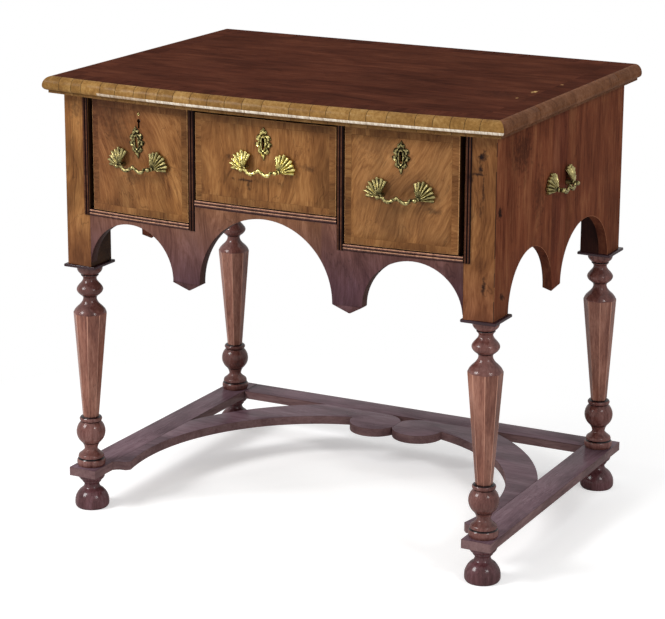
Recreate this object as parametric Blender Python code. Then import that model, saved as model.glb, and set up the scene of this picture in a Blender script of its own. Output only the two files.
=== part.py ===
"""Dressing table: a bow-fronted walnut case with three drawers, on turned legs with a shaped stretcher.

Metres, +Z up. The floor is Z = 0, the drawers open towards -Y, and the origin lies under the
middle of the whole table.
"""

import math

import bmesh
import bpy
from mathutils import Matrix, Vector

for item in list(bpy.data.objects):
    bpy.data.objects.remove(item, do_unlink=True)

# Case
HEIGHT = 0.740
CASE_WIDTH = 0.762
CASE_DEPTH = 0.527
CASE_HEIGHT = 0.286
BOW = 0.024
SIDE_THICKNESS = 0.016
BACK_THICKNESS = 0.012
APRON_THICKNESS = 0.020
APRON_EDGE = 0.018
APRON_REST = 0.004
GAP = 0.0003
OVERCUT = 0.010
BITE = 0.004
STEP_WIDTH = 0.0001

# Top
TOP_THICKNESS = 0.027
TOP_SIDE_OVERHANG = 0.010
TOP_FRONT_OVERHANG = 0.018
TOP_BACK_OVERHANG = 0.020
NOSE_PROJECTION = 0.0125
NOSE_DROP = 0.0105
FILLET_PROJECTION = 0.005
FILLET_HEIGHT = 0.0065

# Corner posts, arches and pendants
POST_WIDTH = 0.0485
POST_DEPTH = 0.0545
FRONT_PENDANT_X = 0.1435
FRONT_PENDANT_WIDTH = 0.050
SIDE_PENDANT_WIDTH = 0.036
SIDE_PENDANT_FORWARD = 0.0168
PENDANT_DROP = 0.014
SIDE_PENDANT_DROP = 0.010
DROP_TIP = 0.04
DROP_BASE = 0.96
CENTRE_ARCH_WEB = 0.0065
OUTER_ARCH_WEB = 0.0055
SIDE_ARCH_WEB = 0.0020
BACK_ARCH_ROOM = 0.003

# Double beads round the drawers
BEAD_WIDTH = 0.0105
BEAD_PROJECTION = 0.0024
BEAD_ROOT = 0.002

# Drawers
OUTER_DRAWER_HEIGHT = 0.182
OUTER_DRAWER_DROP = 0.005
CENTRE_DRAWER_WIDTH = 0.248
CENTRE_DRAWER_HEIGHT = 0.1395
CENTRE_DRAWER_DROP = 0.0075
DRAWER_PLAY = 0.001
PARTITION_PLAY = 0.002
POST_PLAY = 0.009
DRAWER_FRONT_THICKNESS = 0.014
DRAWER_SIDE_THICKNESS = 0.009
DRAWER_BOTTOM_THICKNESS = 0.006
DRAWER_BACK_CLEARANCE = 0.025
DRAWER_SIDE_DROP = 0.008
DRAWER_SIDE_INSET = 0.0015
RUNNER_HEIGHT = 0.012
RUNNER_REACH = 0.012
PARTITION_HEIGHT = 0.208

# Locks and keyholes
KEYHOLE_DROP = 0.0395
LEFT_KEYHOLE_RISE = 0.007
KEYHOLE_RADIUS = 0.0033
KEYHOLE_SLOT_WIDTH = 0.0034
KEYHOLE_SLOT_LENGTH = 0.0120
DRILL_PIN_RADIUS = 0.0011
DRILL_PIN_SETBACK = 0.004
LOCK_WIDTH = 0.056
LOCK_HEIGHT = 0.056
LOCK_THICKNESS = 0.011
LOCK_TOP_SETBACK = 0.001
BOLT_WIDTH = 0.018
BOLT_HEIGHT = 0.024
BOLT_THICKNESS = 0.005
BOLT_TRAVEL = 0.012
MORTISE_DEPTH = 0.010
MORTISE_PLAY = 0.001

# Escutcheons
ESCUTCHEON_HEIGHT = 0.053
ESCUTCHEON_WIDTH = 0.030
ESCUTCHEON_THICKNESS = 0.0018
ESCUTCHEON_DROP = 0.0055
ESCUTCHEON_SLIP = 0.029
ESCUTCHEON_ASIDE = 0.0037
ESCUTCHEON_LEAN = 5.5
ESCUTCHEON_SLOT_WIDTH = 0.0048
ESCUTCHEON_SLOT_LENGTH = 0.0185
PIERCING_X = 0.0062
PIERCING_RADIUS = 0.0014
PIERCING_HEIGHTS = (0.0115, -0.0105)

# Handles: two cast leaves and a swinging bail
OUTER_HANDLE_DROP = 0.092
CENTRE_HANDLE_DROP = 0.072
SIDE_HANDLE_DROP = 0.110
KNUCKLE_X = 0.030
KNUCKLE_DROP = 0.013
KNUCKLE_STAND = 0.018
KNUCKLE_RADIUS = 0.0058
KNUCKLE_FOOT = 0.0006
KNUCKLE_FOOT_RADIUS = 0.0042
KNUCKLE_NECK = 0.0112
KNUCKLE_NECK_RADIUS = 0.0036
BAIL_PIN_RADIUS = 0.0019
BAIL_RADIUS = 0.0026
BAIL_WRAP_RADIUS = 0.0040
BAIL_DROP = 0.0058
BAIL_HALF_SPAN = 0.0225
BAIL_PIN_END = 0.003
BAIL_PIN_START = 0.005
BAIL_WRAP_SHARE = 0.2
# The bail's right-hand half, as shares of its half span and of its drop.
BAIL_CURVE = (
    (1.00, 0.00),
    (0.92, 0.42),
    (0.80, 0.80),
    (0.62, 1.00),
    (0.45, 0.90),
    (0.30, 0.58),
    (0.18, 0.26),
    (0.00, 0.10),
)
LEAF_RADIUS = 0.029
LEAF_LOBES = 7
LEAF_AXIS = 50.0
LEAF_SPREAD = 124.0
LEAF_THICKNESS = 0.0022
LEAF_STANDOFF = 0.0012
LEAF_NOTCH = 0.86
LEAF_ROOT = 0.08
LEAF_DOME = 0.0080
LEAF_PIN_RADIUS = 0.0024
LEAF_PIN_DEPTH = 0.010
LEAF_PIN_OUT = 0.012
PIN_ROOM = 0.001

# Legs and feet. The feet stand a little outside the leg tops.
SIDE_LEG_TOP_INSET = 0.024
SIDE_LEG_FOOT_INSET = 0.020
FRONT_LEG_TOP_INSET = 0.0265
FRONT_LEG_FOOT_INSET = 0.024
BACK_LEG_TOP_INSET = 0.023
BACK_LEG_FOOT_INSET = 0.013
CAP_HALF_WIDTH = 0.0295
CAP_HALF_DEPTH = 0.0325
CAP_THICKNESS = 0.0050
CAP_ROUND = 0.0021
DOWEL_RADIUS = 0.006
DOWEL_LENGTH = 0.024
LEG_SIDES = 16
BALL_RADIUS = 0.0243
BALL_HEIGHT = 0.0590
BALL_LOW_ANGLE = -50.0
BALL_HIGH_ANGLE = 46.0
BALL_FILLET_RADIUS = 0.0188
BALL_FILLET_HEIGHT = 0.0825
TAPER_START = 0.0862
TAPER_FOOT_RADIUS = 0.0145
TAPER_FOOT_FLAT = 0.0126
SHOULDER_DROP = 0.0838
SHOULDER_RADIUS = 0.0280
SHOULDER_FLAT = 0.0257
SHOULDER_EDGE_RADIUS = 0.0276
SHOULDER_EDGE_FLAT = 0.0263
SHOULDER_EDGE_HEIGHT = 0.0030

# Turned outlines as rows of radius and height: above the leg's base, above its shoulder, below
# its top, above the floor, and below the foot's top. A taller leg only has a longer taper.
LEG_BASE_TURNING = (
    (0.0222, 0.0),
    (0.0238, 0.0040),
    (0.0236, 0.0095),
    (0.0213, 0.0130),
    (0.0216, 0.0150),
    (0.0205, 0.0190),
    (0.0175, 0.0215),
    (0.0140, 0.0245),
    (0.0110, 0.0285),
    (0.0124, 0.0350),
    (0.0150, 0.0398),
)
LEG_NECK_TURNING = (
    (0.0251, 0.0075),
    (0.0213, 0.0120),
    (0.0165, 0.0165),
    (0.0113, 0.0262),
    (0.0140, 0.0318),
    (0.0190, 0.0360),
    (0.0217, 0.0405),
    (0.0214, 0.0450),
    (0.0180, 0.0500),
    (0.0140, 0.0545),
    (0.0112, 0.0605),
)
LEG_TOP_TURNING = (
    (0.0138, 0.0185),
    (0.0146, 0.0160),
    (0.0180, 0.0125),
    (0.0206, 0.0085),
    (0.0212, 0.0),
)
FOOT_BUN_TURNING = (
    (0.0258, 0.0),
    (0.0283, 0.0035),
    (0.0288, 0.0085),
    (0.0280, 0.0165),
    (0.0250, 0.0235),
    (0.0205, 0.0295),
    (0.0150, 0.0338),
    (0.0126, 0.0385),
)
FOOT_TOP_TURNING = (
    (0.0126, 0.0165),
    (0.0150, 0.0140),
    (0.0160, 0.0118),
    (0.0190, 0.0095),
    (0.0215, 0.0060),
    (0.0220, 0.0),
)

# Stretcher
STRETCHER_TOP = 0.0735
STRETCHER_THICKNESS = 0.015
RAIL_WIDTH = 0.050
RAIL_FRONT_REACH = 0.005
RAIL_BACK_REACH = 0.027
CURVE_CENTRE_INSET = 0.141
FRONT_CURVE_SIDE_ROOM = 0.018
FRONT_CURVE_BACK_ROOM = 0.033
REAR_CURVE_SIDE_PAST = 0.031
REAR_CURVE_BACK_PAST = 0.042
EAR_INSET = 0.050
EAR_DEPTH = 0.016
EAR_CURVE = ((0.0, 0.0), (0.35, 0.47), (0.75, 0.56))
LOBE_X = 0.042
LOBE_RADIUS = 0.0455

# Places worked out from the sizes above
HALF_CASE = CASE_WIDTH / 2
HALF_TOP = HALF_CASE + TOP_SIDE_OVERHANG
CASE_TOP = HEIGHT - TOP_THICKNESS
CASE_BOTTOM = CASE_TOP - CASE_HEIGHT
FRONT_REACH = BOW + TOP_FRONT_OVERHANG + NOSE_PROJECTION
BACK_REACH = max(RAIL_BACK_REACH, TOP_BACK_OVERHANG)
FRONT = FRONT_REACH - (FRONT_REACH + CASE_DEPTH + BACK_REACH) / 2
BACK = FRONT + CASE_DEPTH
POST_INNER = HALF_CASE - POST_WIDTH
SIDE_INNER = HALF_CASE - SIDE_THICKNESS
BACK_INNER = BACK - BACK_THICKNESS
APRON_BACK = FRONT + APRON_THICKNESS
CENTRE_HALF = CENTRE_DRAWER_WIDTH / 2
PARTITION_LOW = CENTRE_HALF + PARTITION_PLAY
PARTITION_HIGH = PARTITION_LOW + BEAD_WIDTH
OUTER_LOW = PARTITION_HIGH + PARTITION_PLAY
OUTER_HIGH = POST_INNER - POST_PLAY
OUTER_MIDDLE = (OUTER_LOW + OUTER_HIGH) / 2
OUTER_DRAWER_TOP = CASE_TOP - OUTER_DRAWER_DROP
OUTER_DRAWER_BOTTOM = OUTER_DRAWER_TOP - OUTER_DRAWER_HEIGHT
CENTRE_DRAWER_TOP = CASE_TOP - CENTRE_DRAWER_DROP
CENTRE_DRAWER_BOTTOM = CENTRE_DRAWER_TOP - CENTRE_DRAWER_HEIGHT
PARTITION_BOTTOM = CASE_TOP - PARTITION_HEIGHT
KEYHOLE_HEIGHT = CASE_TOP - KEYHOLE_DROP
LEFT_KEYHOLE_HEIGHT = KEYHOLE_HEIGHT + LEFT_KEYHOLE_RISE
OUTER_HANDLE_HEIGHT = CASE_TOP - OUTER_HANDLE_DROP
CENTRE_HANDLE_HEIGHT = CASE_TOP - CENTRE_HANDLE_DROP
SIDE_HANDLE_HEIGHT = CASE_TOP - SIDE_HANDLE_DROP
OUTER_BEAD_TOP = OUTER_DRAWER_BOTTOM - DRAWER_PLAY
OUTER_BEAD_BOTTOM = OUTER_BEAD_TOP - BEAD_WIDTH
CENTRE_BEAD_TOP = CENTRE_DRAWER_BOTTOM - DRAWER_PLAY
CENTRE_BEAD_BOTTOM = CENTRE_BEAD_TOP - BEAD_WIDTH
CENTRE_ARCH_RISE = CENTRE_BEAD_BOTTOM - CENTRE_ARCH_WEB - CASE_BOTTOM
OUTER_ARCH_RISE = OUTER_BEAD_BOTTOM - OUTER_ARCH_WEB - CASE_BOTTOM
SIDE_ARCH_RISE = OUTER_BEAD_BOTTOM - SIDE_ARCH_WEB - CASE_BOTTOM
BACK_ARCH_RADIUS = PARTITION_BOTTOM - BACK_ARCH_ROOM - CASE_BOTTOM
DRAWER_FRONT_BACK = FRONT + DRAWER_FRONT_THICKNESS
DRAWER_REAR = BACK_INNER - DRAWER_BACK_CLEARANCE
STRETCHER_BOTTOM = STRETCHER_TOP - STRETCHER_THICKNESS
LEG_TOP_X = HALF_CASE - SIDE_LEG_TOP_INSET
LEG_FOOT_X = HALF_CASE - SIDE_LEG_FOOT_INSET
RAIL_INNER = LEG_FOOT_X - RAIL_WIDTH / 2
RAIL_OUTER = LEG_FOOT_X + RAIL_WIDTH / 2
RAIL_FRONT = FRONT - RAIL_FRONT_REACH
RAIL_BACK = BACK + RAIL_BACK_REACH
BACK_RAIL_FRONT = RAIL_BACK - RAIL_WIDTH
CURVE_CENTRE = FRONT + CURVE_CENTRE_INSET
CURVE_FRONT_X = RAIL_INNER - FRONT_CURVE_SIDE_ROOM
CURVE_FRONT_Y = BACK_RAIL_FRONT - CURVE_CENTRE - FRONT_CURVE_BACK_ROOM
CURVE_REAR_X = RAIL_INNER + REAR_CURVE_SIDE_PAST
CURVE_REAR_Y = BACK_RAIL_FRONT - CURVE_CENTRE + REAR_CURVE_BACK_PAST
LOBE_Y = BACK_RAIL_FRONT - GAP - LOBE_RADIUS
CAP_TOP = CASE_BOTTOM - GAP
LEG_TOP = CAP_TOP - CAP_THICKNESS - GAP
LEG_BOTTOM = STRETCHER_TOP + GAP
FOOT_TOP = STRETCHER_BOTTOM - GAP


def material(name, colour, roughness, metallic=0.0):
    """A plain Principled material."""
    made = bpy.data.materials.new(name)
    made.use_nodes = True
    shader = made.node_tree.nodes["Principled BSDF"]
    shader.inputs["Base Color"].default_value = (*colour, 1.0)
    shader.inputs["Roughness"].default_value = roughness
    shader.inputs["Metallic"].default_value = metallic
    made.diffuse_color = (*colour, 1.0)
    return made


WALNUT_TOP = material("walnut_top", (0.130, 0.040, 0.018), 0.25)
WALNUT_CASE = material("walnut_case", (0.190, 0.065, 0.028), 0.35)
WALNUT_FRONT = material("walnut_front", (0.240, 0.110, 0.045), 0.32)
WALNUT_EDGE = material("walnut_edge", (0.360, 0.200, 0.070), 0.30)
WALNUT_TURNED = material("walnut_turned", (0.160, 0.048, 0.026), 0.25)
OAK = material("oak", (0.330, 0.220, 0.120), 0.65)
BRASS = material("brass", (0.560, 0.450, 0.210), 0.35, 1.0)
IRON = material("iron", (0.120, 0.110, 0.105), 0.50, 1.0)


def bow(x):
    """How far the bowed front stands forward of the line between its ends, at x."""
    return BOW * (1 - (x / HALF_TOP) ** 2)


def turn(x):
    """The angle by which the bowed front faces away from -Y at x."""
    return math.atan(2 * BOW * x / HALF_TOP**2)


def steps(low, high, count):
    """Evenly spaced values from low to high."""
    return [low + (high - low) * k / count for k in range(count + 1)]


def prism(points, low, high, axis="Z"):
    """A bmesh of an outline drawn square to an axis and extruded along it."""
    place = {
        "X": lambda a, b, c: (c, a, b),
        "Y": lambda a, b, c: (a, c, b),
        "Z": lambda a, b, c: (a, b, c),
    }[axis]
    mesh = bmesh.new()
    outline = mesh.faces.new([mesh.verts.new(place(a, b, low)) for a, b in points])
    side = bmesh.ops.extrude_face_region(mesh, geom=[outline])
    moved = [v for v in side["geom"] if isinstance(v, bmesh.types.BMVert)]
    bmesh.ops.translate(mesh, verts=moved, vec=place(0, 0, high - low))
    bmesh.ops.recalc_face_normals(mesh, faces=mesh.faces)
    return mesh


def box(low, high):
    """A bmesh of a plain block between two corners."""
    corners = [(low[0], low[1]), (high[0], low[1]), (high[0], high[1]), (low[0], high[1])]
    return prism(corners, low[2], high[2])


def loft(rings):
    """A closed bmesh through rings of equally many points, with flat ends."""
    mesh = bmesh.new()
    loops = [[mesh.verts.new(point) for point in ring] for ring in rings]
    for lower, upper in zip(loops, loops[1:]):
        count = len(lower)
        for k in range(count):
            mesh.faces.new((lower[k], lower[(k + 1) % count], upper[(k + 1) % count], upper[k]))
    mesh.faces.new(list(reversed(loops[0])))
    mesh.faces.new(loops[-1])
    bmesh.ops.recalc_face_normals(mesh, faces=mesh.faces)
    return mesh


def rod(centre, radius, low, high, axis="Z", sides=12):
    """A bmesh of a round rod along an axis, its centre given in the other two axes' order."""
    points = []
    for k in range(sides):
        angle = 2 * math.pi * (k + 0.5) / sides
        points.append((centre[0] + radius * math.cos(angle), centre[1] + radius * math.sin(angle)))
    return prism(points, low, high, axis)


def mesh_object(name, mesh):
    """Turn a bmesh into an object in the scene."""
    data = bpy.data.meshes.new(name)
    mesh.to_mesh(data)
    mesh.free()
    made = bpy.data.objects.new(name, data)
    bpy.context.scene.collection.objects.link(made)
    return made


def combine(base, tool, operation="UNION"):
    """Join a tool to a base, or cut it away with DIFFERENCE. All are bmeshes."""
    first = mesh_object("base", base)
    second = mesh_object("tool", tool)
    change = first.modifiers.new("combine", "BOOLEAN")
    change.operation = operation
    change.solver = "EXACT"
    change.object = second
    graph = bpy.context.evaluated_depsgraph_get()
    shown = first.evaluated_get(graph)
    result = bmesh.new()
    result.from_mesh(shown.to_mesh())
    shown.to_mesh_clear()
    for used in (first, second):
        data = used.data
        bpy.data.objects.remove(used, do_unlink=True)
        bpy.data.meshes.remove(data)
    bmesh.ops.dissolve_limit(
        result, angle_limit=1e-4, verts=result.verts, edges=result.edges, delimit={"NORMAL"}
    )
    return result


def cut(base, tool):
    """Cut a tool out of a base."""
    return combine(base, tool, "DIFFERENCE")


def mirror(mesh):
    """A copy of a bmesh mirrored from right to left."""
    copy = mesh.copy()
    bmesh.ops.scale(copy, vec=(-1, 1, 1), verts=copy.verts)
    bmesh.ops.reverse_faces(copy, faces=copy.faces)
    return copy


def add(name, mesh, finish, round_angle=30.0):
    """Add a finished piece to the scene."""
    made = mesh_object(name, mesh)
    made.data.materials.append(finish)
    made.data.shade_smooth()
    made.data.set_sharp_from_angle(angle=math.radians(round_angle))
    return made


def add_pair(name, mesh, finish):
    """Add a right-hand piece and its left-hand mirror image."""
    add(name + "_left", mirror(mesh), finish)
    add(name + "_right", mesh, finish)


def follow_bow(mesh, limit):
    """Move every vertex in front of a limit forward onto the bowed front."""
    for vertex in mesh.verts:
        if vertex.co.y < limit:
            vertex.co.y -= bow(vertex.co.x)
    return mesh


def bowed_slab(sections, front=FRONT):
    """A slab with a bowed front, from sections of (x, lowest z, highest z, y of the back)."""
    rings = []
    for x, low, high, rear in sections:
        face = front - bow(x)
        rings.append([(x, face, low), (x, rear, low), (x, rear, high), (x, face, high)])
    return loft(rings)


def half_ellipse(middle, half_width, rise, base, count):
    """Points over an arch, from its far side to its near one."""
    points = []
    for angle in steps(0, math.pi, count):
        points.append((middle + half_width * math.cos(angle), base + rise * math.sin(angle)))
    return points


def bead_profile(count=3):
    """The double bead's outline: across its strip, and out from the surface."""
    half = (BEAD_WIDTH - 2 * GAP) / 4
    points = [(GAP, -BEAD_ROOT), (GAP, 0.0)]
    for middle in (GAP + half, GAP + 3 * half):
        for angle in steps(math.pi, 0, count)[1:]:
            points.append((middle + half * math.cos(angle), BEAD_PROJECTION * math.sin(angle)))
    points.append((BEAD_WIDTH - GAP, -BEAD_ROOT))
    return points


def level_bead(low_x, high_x, bottom, columns):
    """A double bead that runs along the bowed front."""
    rings = []
    for x in steps(low_x, high_x, columns):
        face = FRONT - bow(x)
        rings.append([(x, face - out, bottom + across) for across, out in bead_profile()])
    return loft(rings)


def upright_bead(low_x, bottom, top):
    """A double bead that stands on the bowed front."""
    face = FRONT - bow(low_x + BEAD_WIDTH / 2)
    points = [(low_x + across, face - out) for across, out in bead_profile()]
    return prism(points, bottom, top)


def drop(x, y, half_x, half_y, length):
    """The low pyramid that ends a pendant, with its root inside the pendant."""
    corners = [(-1, -1), (1, -1), (1, 1), (-1, 1)]
    rings = []
    for height, share in (
        (CASE_BOTTOM - length, DROP_TIP),
        (CASE_BOTTOM, DROP_BASE),
        (CASE_BOTTOM + BITE, DROP_BASE),
    ):
        rings.append([(x + a * half_x * share, y + b * half_y * share, height) for a, b in corners])
    return loft(rings)


def arch_height(x, middle, half_width, rise):
    """The height of an arch at x, or the case's bottom outside it."""
    share = (x - middle) / half_width
    if abs(share) >= 1:
        return CASE_BOTTOM
    return CASE_BOTTOM + rise * math.sqrt(1 - share**2)


OUTER_ARCH_LOW = FRONT_PENDANT_X + FRONT_PENDANT_WIDTH / 2
OUTER_ARCH_MIDDLE = (OUTER_ARCH_LOW + POST_INNER) / 2
OUTER_ARCH_HALF = (POST_INNER - OUTER_ARCH_LOW) / 2
CENTRE_ARCH_HALF = FRONT_PENDANT_X - FRONT_PENDANT_WIDTH / 2
SIDE_ARCH_LOW = SIDE_PENDANT_WIDTH / 2
SIDE_MIDDLE = (FRONT + BACK) / 2 - SIDE_PENDANT_FORWARD


def apron_bottom(x):
    """The height of the front apron's lower edge."""
    x = abs(x)
    if x < CENTRE_ARCH_HALF:
        return arch_height(x, 0, CENTRE_ARCH_HALF, CENTRE_ARCH_RISE)
    return arch_height(x, OUTER_ARCH_MIDDLE, OUTER_ARCH_HALF, OUTER_ARCH_RISE)


def apron_top(x):
    """The height of the front apron's upper edge, stepped for the partitions."""
    x = abs(x)
    if x < PARTITION_LOW - GAP:
        return CENTRE_BEAD_TOP
    if x > PARTITION_HIGH + GAP:
        return OUTER_BEAD_TOP
    return OUTER_BEAD_BOTTOM - GAP


def thinned_top(x):
    """How high the apron is thinned behind, lower where the partitions rest on it."""
    x = abs(x)
    if x < PARTITION_LOW - APRON_REST:
        return CENTRE_BEAD_BOTTOM - APRON_REST
    if x > PARTITION_HIGH + APRON_REST:
        return OUTER_BEAD_BOTTOM - APRON_REST
    return PARTITION_BOTTOM


def apron_hollow():
    """A cutter that leaves the apron's arches an even thickness behind their bowed face."""
    end = POST_INNER + OVERCUT
    places = set(steps(-end, end, 13))
    for jump in (PARTITION_LOW - APRON_REST, PARTITION_HIGH + APRON_REST):
        for x in (jump - STEP_WIDTH / 2, jump + STEP_WIDTH / 2):
            places.update((-x, x))
    sections = [(x, CASE_BOTTOM - OVERCUT, thinned_top(x), APRON_BACK + OVERCUT) for x in sorted(places)]
    return bowed_slab(sections, FRONT + APRON_EDGE)


def make_apron():
    """The front apron: three arches, two pendants and the beads below the drawers."""
    edge = STEP_WIDTH / 2
    end = POST_INNER - GAP
    places = {0.0, CENTRE_ARCH_HALF, OUTER_ARCH_LOW, end}
    for angle in steps(0, math.pi / 2, 7)[1:-1]:
        places.add(CENTRE_ARCH_HALF * math.cos(angle))
    for angle in steps(0, math.pi, 11)[1:-1]:
        places.add(min(OUTER_ARCH_MIDDLE + OUTER_ARCH_HALF * math.cos(angle), end))
    for jump in (PARTITION_LOW - GAP, PARTITION_HIGH + GAP):
        places.update((jump - edge, jump + edge))
    whole = sorted({-x for x in places} | places)
    apron = bowed_slab([(x, apron_bottom(x), apron_top(x), APRON_BACK) for x in whole])
    apron = cut(apron, apron_hollow())
    centre = PARTITION_LOW - 2 * GAP
    apron = combine(apron, level_bead(-centre, centre, CENTRE_BEAD_BOTTOM, 6))
    for side in (-1, 1):
        ends = sorted((side * (PARTITION_HIGH + 2 * GAP), side * (POST_INNER - 2 * GAP)))
        apron = combine(apron, level_bead(*ends, OUTER_BEAD_BOTTOM, 4))
        x = side * FRONT_PENDANT_X
        middle = FRONT - bow(x) + APRON_EDGE / 2
        apron = combine(apron, drop(x, middle, FRONT_PENDANT_WIDTH / 2, APRON_EDGE / 2, PENDANT_DROP))
    add("apron_front", apron, WALNUT_FRONT)


def dowel_hole(x, y, low, high):
    """A cutter for a dowel's hole."""
    return rod((x, y), DOWEL_RADIUS + GAP, low, high, sides=LEG_SIDES)


def post_hole(x, y):
    """A cutter for the hole in a post that takes the leg's dowel."""
    return dowel_hole(x, y, CASE_BOTTOM - OVERCUT, CASE_BOTTOM + DOWEL_LENGTH)


def make_stiles():
    """The front corner posts, each with the bead beside its drawer and the leg's dowel hole."""
    back = FRONT + POST_DEPTH
    top = CASE_TOP - GAP
    stile = bowed_slab([(x, CASE_BOTTOM, top, back) for x in (POST_INNER, SIDE_INNER - GAP)])
    stile = combine(stile, upright_bead(POST_INNER, OUTER_BEAD_BOTTOM + GAP, top - GAP))
    place = (LEG_TOP_X, FRONT + FRONT_LEG_TOP_INSET)
    stile = cut(stile, post_hole(*place))
    add_pair("front_stile", stile, WALNUT_FRONT)


def make_sides():
    """The case sides, each with two arches, a pendant, the rear corner post and the drawer's runner."""
    top = CASE_TOP - GAP
    front_arch_end = FRONT + POST_DEPTH
    back_arch_end = BACK - POST_DEPTH
    pendant_front = SIDE_MIDDLE - SIDE_ARCH_LOW
    pendant_back = SIDE_MIDDLE + SIDE_ARCH_LOW
    outline = [(FRONT, top), (FRONT, CASE_BOTTOM)]
    for near, far in ((front_arch_end, pendant_front), (pendant_back, back_arch_end)):
        middle, half = (near + far) / 2, (far - near) / 2
        outline += reversed(half_ellipse(middle, half, SIDE_ARCH_RISE, CASE_BOTTOM, 10))
    outline += [(BACK, CASE_BOTTOM), (BACK, top)]
    side = follow_bow(prism(outline, SIDE_INNER, HALF_CASE, "X"), FRONT + GAP)
    middle = (SIDE_INNER + HALF_CASE) / 2
    half_y = SIDE_PENDANT_WIDTH / 2
    side = combine(side, drop(middle, SIDE_MIDDLE, SIDE_THICKNESS / 2, half_y, SIDE_PENDANT_DROP))
    post = box((POST_INNER, back_arch_end, CASE_BOTTOM), (SIDE_INNER + BITE, BACK_INNER - GAP, top))
    side = combine(side, post)
    runner_top = OUTER_DRAWER_BOTTOM + DRAWER_PLAY - GAP
    runner_low = OUTER_HIGH - RUNNER_REACH
    guide_low, guide_high = OUTER_HIGH + DRAWER_PLAY, POST_INNER - GAP
    runner = [
        (runner_low, runner_top - RUNNER_HEIGHT),
        (SIDE_INNER + BITE, runner_top - RUNNER_HEIGHT),
        (SIDE_INNER + BITE, runner_top),
        (guide_high, runner_top),
        (guide_high, runner_top + RUNNER_HEIGHT),
        (guide_low, runner_top + RUNNER_HEIGHT),
        (guide_low, runner_top),
        (runner_low, runner_top),
    ]
    side = combine(side, prism(runner, front_arch_end + GAP, back_arch_end + BITE, "Y"))
    place = (LEG_TOP_X, BACK - BACK_LEG_TOP_INSET)
    side = cut(side, post_hole(*place))
    side = leaf_pin_holes(side, (HALF_CASE, SIDE_MIDDLE, SIDE_HANDLE_HEIGHT), math.pi / 2)
    add_pair("side_panel", side, WALNUT_CASE)


def make_partitions():
    """The upright boards between the drawers, with a bead in front and a runner on each side."""
    top = CASE_TOP - GAP
    rear = BACK_INNER - GAP
    behind = APRON_BACK + GAP
    outline = [
        (FRONT, OUTER_BEAD_BOTTOM),
        (FRONT, top),
        (rear, top),
        (rear, PARTITION_BOTTOM),
        (behind, PARTITION_BOTTOM),
        (behind, OUTER_BEAD_BOTTOM),
    ]
    board = follow_bow(prism(outline, PARTITION_LOW, PARTITION_HIGH, "X"), FRONT + GAP)
    rest = DRAWER_PLAY - GAP
    low = OUTER_DRAWER_BOTTOM + rest
    outer = (PARTITION_HIGH - BITE, behind, low - RUNNER_HEIGHT)
    board = combine(board, box(outer, (PARTITION_HIGH + RUNNER_REACH, rear, low)))
    high = CENTRE_DRAWER_BOTTOM + rest
    inner = (PARTITION_LOW - RUNNER_REACH, behind, high - RUNNER_HEIGHT)
    board = combine(board, box(inner, (PARTITION_LOW + BITE, rear, high)))
    board = combine(board, upright_bead(PARTITION_LOW, OUTER_BEAD_BOTTOM + GAP, top - GAP))
    add_pair("partition", board, WALNUT_FRONT)


def make_back():
    """The back panel, rebated between the sides, with an ear down each rear post."""
    end = SIDE_INNER - GAP
    bottom = CASE_BOTTOM + BACK_ARCH_RADIUS
    outline = [(end, CASE_BOTTOM), (end, CASE_TOP - GAP), (-end, CASE_TOP - GAP), (-end, CASE_BOTTOM)]
    for side in (-1, 1):
        centre = side * (POST_INNER - BACK_ARCH_RADIUS)
        arc = []
        for angle in steps(0, math.pi / 2, 8):
            x = centre + side * BACK_ARCH_RADIUS * math.cos(angle)
            arc.append((x, CASE_BOTTOM + (bottom - CASE_BOTTOM) * math.sin(angle)))
        outline += arc if side < 0 else reversed(arc)
    add("back_panel", prism(outline, BACK_INNER, BACK, "Y"), WALNUT_CASE)


def bolt_places():
    """Each drawer's name, middle x, and the heights of its top edge and its keyhole."""
    return [
        ("left", -OUTER_MIDDLE, OUTER_DRAWER_TOP, LEFT_KEYHOLE_HEIGHT),
        ("centre", 0.0, CENTRE_DRAWER_TOP, KEYHOLE_HEIGHT),
        ("right", OUTER_MIDDLE, OUTER_DRAWER_TOP, KEYHOLE_HEIGHT),
    ]


BOLT_LOW_Y = DRAWER_FRONT_BACK + GAP + (LOCK_THICKNESS - BOLT_THICKNESS) / 2
BOLT_HIGH_Y = BOLT_LOW_Y + BOLT_THICKNESS


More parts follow.
